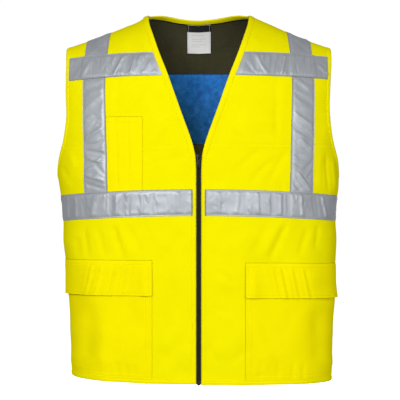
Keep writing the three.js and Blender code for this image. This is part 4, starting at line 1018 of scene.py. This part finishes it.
def waistTapes():
    toSide = lambda side: lambda t: side * form["halfWidth"] + 0 * t
    zOf = between("waistBottom", "waistTop", -1)
    us = shares(200)
    for name, side in sides:
        area = (*sorted((side * 10, side * 270)), -400, -350)
        lines = creases["waist_" + name] + randomCreases(side + 30, 40, area, half, **fine)
        x, z = layGrid(zOf, besideZip(zOf, side, tape["fromZip"]), toSide(side), us, tapeRows)
        piece, node = "waist_tape_cloth_" + name, "waist_tape_" + name
        addTape(piece, node, x, z, -1, tape["waistCut"], us, side + 2, lines)
    zOf = between("waistBottom", "waistTop", 1)
    us = shares(230)
    x, z = layGrid(zOf, toSide(-1), toSide(1), us, tapeRows)
    area = (-265, 265, -400, -355)
    lines = randomCreases(5, 34, area, half, **broad) + randomCreases(6, 60, area, half, **fine)
    addTape("waist_tape_cloth_back", "waist_tape_back", x, z, 1, tape["backWaistCut"], us, 5, lines)


def chestTapes():
    zOf = between("chestBottom", "chestTop", -1)
    us = shares(170)
    for name, side in sides:
        outer = insideArmhole(zOf, side, -1, panel["underArmhole"])
        x, z = layGrid(zOf, besideZip(zOf, side, tape["fromNeck"]), outer, us, tapeRows)
        area = (*sorted((side * 60, side * 260)), -130, -84)
        lines = creases["chest_" + name] + randomCreases(side + 40, 34, area, half, **fine)
        piece, node = "chest_tape_cloth_" + name, "chest_tape_" + name
        lift = overShoulderTape(x, z, -1)
        addTape(piece, node, x, z, -1, tape["chestCut"], us, side + 4, lines, lift, True)
    zOf = between("backTapeBottom", "coolingTop", 1)
    us = shares(230)
    x, z = layGrid(zOf, *backArmholes(zOf, panel["underArmhole"]), us, tapeRows)
    area = (-250, 250, -150, -110)
    lines = randomCreases(9, 26, area, half, **broad) + randomCreases(10, 44, area, half, **fine)
    lift, cut = overShoulderTape(x, z, 1), tape["upperBackCut"]
    addTape("upper_back_tape_cloth", "upper_back_tape", x, z, 1, cut, us, 7, lines, lift, True)


def shoulderTapes():
    ts = shares(170)
    for name, side in sides:
        grids = []
        for face in (-1, 1):
            over = shell[face]["over"]

            def zOf(x, t):
                x, t = np.broadcast_arrays(np.asarray(x, float), np.asarray(t, float))
                low, top = rowAt(levels["waistTop"], x, face) - tape["end"], shoulderLine(x)
                angle = mix(half, 0, np.clip((t - tape["turn"]) / (1 - tape["turn"]), 0, 1))
                below = mix(low, top - over, t / tape["turn"])
                return np.where(t < tape["turn"], below, top - over * (1 - np.cos(angle)))

            inner = lambda t: side * tapeInner(zOf(side * tapeAt, t))
            outer = lambda t: stepRound(inner(t), tape["wide"], zOf, t, face)
            x, z = layGrid(zOf, inner, outer, tapeRows, ts)
            area = (side * 200 - 26, side * 200 + 26, -350, -45)
            lines = randomCreases(side + face + 50, 44, area, tape["lean"] * side, **fine)
            if face < 0:
                lines += creases["shoulder_" + name]
            else:
                lines += randomCreases(side + 12, 22, area, tape["lean"] * side, **broad)
            run, across = ts[:, None] * tape["shoulderCut"][1] / 2, tapeRows[None, :] * tape["wide"]
            band = ("chestBottom", "chestTop") if face < 0 else ("backTapeBottom", "coolingTop")
            low, high = (rowAt(levels[level], x, face) for level in band)
            outside = np.maximum(low - z, z - high)
            pressed = smooth(outside / 5) * smooth((z - rowAt(levels["waistTop"], x, face)) / 5)
            lift = tapeLift(x, z, run, across, side + face, lines) * pressed
            grids.append(offsetGrid(x, z, face, tape["low"], tape["high"], lift))
        joined = [np.concatenate([front, back[::-1][1:]]) for front, back in zip(*grids)]
        top, bottom, normal = joined
        piece = closedSheet("shoulder_tape_cloth_" + name, top, bottom, "reflective_tape", 0.2)
        declare(piece, "shoulder_tape_" + name, tape["shoulderCut"])
        for share in tapeSeams:
            column = nearest(tapeRows, share)
            sew("tape_stitching", top[:, column], normal[:, column])


waistTapes()
shoulderTapes()
chestTapes()
print("tape is sewn on")

pocket = {
    "low": 1.2, "high": 2.0, "cut": (225, 208), "puff": 2.4, "seams": (3.0, 8.5), "groove": 0.4,
    "inner": (88, 106), "sideGap": 22, "around": 215, "long": 197, "outer": 250,
}
flap = {
    "low": 2.3, "high": 3.2, "cut": (235, 72), "long": 67, "flare": 1.5, "cornerFlare": 3.0,
    "topStitch": 8, "edgeStitch": 4, "tuck": 2.6, "gatherWide": 2.5, "gatherShare": 1.5,
    "gathers": {-1: (-206, -188, -160, -136), 1: (143, 158, 180, 201)},
    "gatherDeep": {-1: (1.5, 1.4, 2.4, 1.5), 1: (1.4, 2.4, 1.4, 1.5)},
}


def pocketLine(z):
    return mix(*pocket["inner"], smooth((z + 479) / 123))


def pocketPuff(u, v, side):
    rim = np.minimum(np.minimum(u * 7 - 0.25, (1 - u) * 9), v * 7 - 0.25)
    uneven = 0.62 + 0.38 * np.sin(u * 8 + side)
    return pocket["puff"] * smooth(rim) * uneven * smooth((1.25 - v) / 0.25)


def pocketSheets(name, side):
    inner = lambda zOf: lambda t: side * pocketLine(zOf(side * tapeAt, t))

    def seam(zOf):
        start = lambda t: side * halfWidth(zOf(side * pocket["outer"], t), side)
        return lambda t: stepRound(start(t), -pocket["sideGap"], zOf, t, -1)

    zOf = between("hemTop", "pocketTop", -1)
    us, ts = shares(82, (0.026,), 0.03, 4), shares(82, (0.03,), 0.03, 4)
    x, z = layGrid(zOf, inner(zOf), seam(zOf), us, ts)
    fromInner, fromHem = us[None, :] * pocket["around"], ts[:, None] * pocket["long"]
    lift = pocketPuff(us[None, :], ts[:, None], side)
    for seamAt in pocket["seams"]:
        lift = lift - pocket["groove"] * (bump(fromInner - seamAt, 1.1) + bump(fromHem - seamAt, 1.1))
    top, bottom, normal = offsetGrid(x, z, -1, pocket["low"], pocket["high"], lift)
    piece = closedSheet("lower_pocket_cloth_" + name, top, bottom, "yellow_double")
    declare(piece, "lower_pocket_" + name, pocket["cut"])
    for seamAt in pocket["seams"]:
        row, column = nearest(fromHem[:, 0], seamAt), nearest(fromInner[0], seamAt)
        sew("pocket_stitching", top[row], normal[row])
        sew("pocket_stitching", top[:, column], normal[:, column])

    zOf = between("flapBottom", "flapTop", -1)
    us, ts = shares(110, (0.02, 0.98), 0.02, 3), shares(56, (0.06, 0.88), 0.05, 3)
    x, z = layGrid(zOf, inner(zOf), seam(zOf), us, ts)
    low, high = (rowAt(levels[level], x, -1) for level in ("hemTop", "pocketTop"))
    down, u = 1 - ts[:, None], us[None, :]
    lift = pocketPuff(u, (z - low) / (high - low), side) * smooth(down * 6)
    corners = smooth(u) + 0.15 * smooth(1 - 5 * u)
    lift = lift + (flap["flare"] + flap["cornerFlare"] * corners) * down**2
    for place, deep in zip(flap["gathers"][side], flap["gatherDeep"][side]):
        off = x - place - 14 * side * (down - 0.5)
        fold = deep * bump(off, flap["gatherWide"]) - 0.5 * deep * bump(off - 6, 3.5)
        fold = flap["gatherShare"] * (fold + 0.5 * bump(off + 9, 4))
        lift = lift + fold * smooth((down * flap["long"] - 6) / 12) * (1 - 0.45 * down)
    lift = lift + flap["tuck"] * bump(u - 0.045, 0.03) * smooth(down * 3) - 1.4 * smooth(1 - down * 9)
    lift = lift - 0.45 * bump(down * flap["long"] - flap["topStitch"], 1.3)
    rim = np.minimum(np.minimum(u, 1 - u) * pocket["around"], (1 - down) * flap["long"])
    lift = lift - 0.4 * bump(rim - flap["edgeStitch"], 1.1) * smooth(down * flap["long"] / 8 - 0.6)
    top, bottom, normal = offsetGrid(x, z, -1, flap["low"], flap["high"], lift)
    piece = closedSheet("pocket_flap_cloth_" + name, top, bottom, "yellow_double")
    declare(piece, "pocket_flap_" + name, flap["cut"])
    for share, off in ((down[:, 0], flap["topStitch"]), (1 - down[:, 0], flap["edgeStitch"])):
        row = nearest(share * flap["long"], off)
        sew("pocket_stitching", top[row], normal[row])
    for share in (us, 1 - us):
        column = nearest(share * pocket["around"], flap["edgeStitch"])
        sew("pocket_stitching", top[3:-8, column], normal[3:-8, column])


penPocketShape = {
    "low": 1.25, "high": 1.95, "cut": (72, 157), "long": 150, "hem": 0.08,
    "seams": ((0.03, 0.03), (0.36, 0.33), (0.71, 0.66), (0.97, 0.97)),
}


def penPocket():
    zOf = between("waistTop", "penTop", -1)
    us, ts = shares(60, (0.03, 0.35, 0.68), 0.03, 2), shares(90, (0.92,), 0.03, 2)
    inner = lambda t: -pocketLine(zOf(-tapeAt, t))
    outer = lambda t: -tapeInner(zOf(-tapeAt, t)) + 0.4
    x, z = layGrid(zOf, inner, outer, us, ts)
    u, v = us[None, :], ts[:, None]
    lift = 0.55 + 0.25 * crumple(x, z, 21, 30)
    lines = [mix(low, high, v) for high, low in penPocketShape["seams"]]
    near = np.min([abs(u - line) for line in lines], axis=0) * penPocketShape["cut"][0]
    fromHem = (1 - v - penPocketShape["hem"]) * penPocketShape["long"]
    lift = lift * smooth(near / 5) - 0.2 * bump(near, 1) - 0.25 * bump(fromHem, 1.2)
    top, bottom, normal = offsetGrid(x, z, -1, penPocketShape["low"], penPocketShape["high"], lift)
    piece = closedSheet("pen_pocket_cloth", top, bottom, "yellow_double")
    declare(piece, "pen_pocket", penPocketShape["cut"])
    row = nearest(1 - ts, penPocketShape["hem"])
    sew("pocket_stitching", top[row], normal[row])
    for high, low in penPocketShape["seams"][:3]:
        columns = np.abs(us[None, :] - mix(low, high, v)).argmin(1)
        rows = np.arange(len(ts))
        sew("pocket_stitching", top[rows, columns], normal[rows, columns])


for name, side in sides:
    pocketSheets(name, side)
penPocket()
print("pockets are sewn on")

inside = {
    "liningHigh": -0.7, "liningLow": -1.4, "liningCut": (695, 770), "liningUnder": 3.5, "padUnder": 8,
    "padTop": -1.9, "padEdge": 1.0, "padCrown": 2.8, "padHem": 4.5, "padWide": 490, "padLong": 145,
}


def meshLining():
    zOf = panelRow(1)
    x, z = layGrid(zOf, *backArmholes(zOf, inside["liningUnder"]), shares(90), shares(110))
    top, bottom, _ = offsetGrid(x, z, 1, inside["liningLow"], inside["liningHigh"])
    piece = closedSheet("mesh_lining_cloth", top, bottom, "mesh")
    declare(piece, "mesh_lining", inside["liningCut"], areaOf(top))


def coolingPanel():
    zOf = between("coolingBottom", "coolingTop", 1)
    us, ts = shares(140), shares(60, (0.03, 0.97), 0.03, 2)
    x, z = layGrid(zOf, *backArmholes(zOf, inside["padUnder"]), us, ts)
    u, v = us[None, :], ts[:, None]
    rim = np.minimum(np.minimum(u, 1 - u) * inside["padWide"], np.minimum(v, 1 - v) * inside["padLong"])
    crown = smooth(rim / 9)
    thick = inside["padEdge"] + inside["padCrown"] * crown + crown * 0.8 * crumple(x, z, 31, 26)
    thick = thick - 0.6 * bump(rim - inside["padHem"], 1.4)
    base, normal = pointsAt(x, z, 1), normalsAt(x, z, 1)
    near = wrinkle(x, z, 1)[..., None] + inside["padTop"]
    low = base + normal * (near - thick[..., None])
    piece = closedSheet("cooling_pad", base + normal * near, low, "cooling_fabric", straight=True)
    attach(piece, "vest")
    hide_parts("cooling_panel")
    for share in (inside["padHem"] / inside["padLong"], 1 - inside["padHem"] / inside["padLong"]):
        row = nearest(ts, share)
        sew("cooling_stitching", low[row], -normal[row])


label = {
    "wide": 48, "long": 55, "off": 0.5, "curl": 2.5,
    "marks": ((26, 28), (21, 31), (18, 24), (13, 30), (10, 20)),
}
labelSheets = (
    ("care_label_cloth", "care_label", 55, -2.9, -2.3, "label", (48, 60)),
    ("label_band_cloth", "label_band", 12.5, -3.6, -3.0, "label_black", (48, 16)),
)


def neckLabel():
    for name, node, long, low, high, slotName, cut in labelSheets:
        v, u = np.mgrid[0:1:41j, 0:1:37j]
        x = label["off"] + label["wide"] * (u - 0.5)
        z = neckTop(x) - 0.3 - long * (1 - v)
        down = long * (1 - v) / label["long"]
        curl = -label["curl"] * down**2 + 0.5 * np.sin(u * 5) * down
        grid, under, normal = offsetGrid(x, z, 1, low, high, curl)
        piece = closedSheet(name, under, grid, slotName, 0.2)
        declare(piece, node, cut)
        for column in (2, 34):
            sew(slotName + "_stitching", under[:, column], -normal[:, column])
        if slotName == "label":  # plain grey dashes, in place of wording
            for row, end in label["marks"]:
                sew("label_marks", under[row, 6:end], -normal[row, 6:end])


meshLining()
coolingPanel()
neckLabel()
print("the inside of the back is in")

zipper = {
    "pitch": 2.1, "tooth": (2.9, 1.5, 1.25), "toothSide": 1.15, "behind": 1.1, "teethEnd": -706.5,
    "tapeCut": (12.5, 430), "tapeEnd": -709, "low": -1.2, "high": -0.3,
}


def zipTapes():
    for name, side in sides:
        zs = np.linspace(zipper["tapeEnd"], form["vBottom"] - 0.5, 160)[:, None]
        x = side * mix(0.3, frontEdge(zs) + 7, np.linspace(0, 1, 9)[None, :])
        z = zs + 0 * x
        base, normal = pointsAt(x, z, -1), normalsAt(x, z, -1)
        high, low = base + normal * zipper["high"], base + normal * zipper["low"]
        piece = closedSheet("zip_tape_cloth_" + name, high, low, "zip_black", 0.2)
        declare(piece, "zip_tape_" + name, zipper["tapeCut"])


# one tooth, shaped from a cube, then copied down both sides of the zip
def zipChain():
    bpy.ops.object.select_all(action="DESELECT")
    bpy.ops.mesh.primitive_cube_add(size=1, scale=zipper["tooth"])
    tooth = bpy.context.object
    bpy.ops.object.transform_apply(location=False, rotation=False, scale=True)
    soft = tooth.modifiers.new("soft", "BEVEL")
    soft.width, soft.segments = 0.4, 1
    bpy.ops.object.modifier_apply(modifier="soft")
    shape = np.array([v.co for v in tooth.data.vertices])
    faces = [list(p.vertices) for p in tooth.data.polygons]
    bpy.data.objects.remove(tooth)
    points, polys = [], []
    for n, z in enumerate(np.arange(form["vBottom"] - 8, zipper["teethEnd"], -zipper["pitch"] / 2)):
        side = 1 if n % 2 else -1
        place = (side * zipper["toothSide"], float(depthAt(0, z, -1)) - zipper["behind"], z)
        polys += [[i + n * len(shape) for i in f] for f in faces]
        points.append(shape + np.array(place))
    points = np.concatenate(points)
    piece = meshFrom("zip_teeth", points, polys, points[:, [0, 2]], "zip_black")
    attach(piece, "vest")
    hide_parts("zip_chain")


# slider, pull and stop: the frame's own shapes with softened edges
hardParts = (
    ("zip_slider", "slider_body", "zip_metal", "vest", 0.45),
    ("zip_pull", "pull_tab", "zip_metal", "zip_pull", 0.25),
    ("zip_box", "zip_stop", "zip_black", "vest", 0.5),
)


def softCopy(node, name, slotName, body, width):
    bpy.ops.object.select_all(action="DESELECT")
    piece = bpy.data.objects.new(name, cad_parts[node].data.copy())
    scene.collection.objects.link(piece)
    bpy.context.view_layer.objects.active = piece
    piece.select_set(True)
    bpy.ops.object.mode_set(mode="EDIT")
    bpy.ops.mesh.select_all(action="SELECT")
    bpy.ops.mesh.remove_doubles(threshold=0.00001)
    bpy.ops.mesh.dissolve_limited(angle_limit=math.radians(2))
    bpy.ops.uv.smart_project()
    bpy.ops.object.mode_set(mode="OBJECT")
    edge = piece.modifiers.new("edge", "BEVEL")
    edge.width, edge.segments = width * 0.001, 3
    edge.limit_method, edge.angle_limit = "ANGLE", math.radians(40)
    bpy.ops.object.modifier_apply(modifier="edge")
    bpy.ops.object.shade_smooth_by_angle(angle=math.radians(35))
    piece.data.materials.clear()
    piece.data.materials.append(material[slotName])
    piece.data.uv_layers[0].name = "cloth"
    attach(piece, body)
    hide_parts(node)


zipTapes()
zipChain()
for node, name, slotName, body, width in hardParts:
    softCopy(node, name, slotName, body, width)
print("the zip is in")

for group, slot, slotName in (
    ("panel_stitching", "yellow_thread", "yellow_fabric"),
    ("binding_stitching", "yellow_thread", "yellow_binding"),
    ("tape_stitching", "grey_thread", "reflective_tape"),
    ("pocket_stitching", "yellow_thread", "yellow_fabric"),
    ("cooling_stitching", "blue_thread", "cooling_fabric"),
    ("label_stitching", "white_thread", "label"), ("label_marks", "grey_thread", "label"),
    ("label_black_stitching", "white_thread", "label_black"),
):
    makeStitches(group, slot)
print("stitched")
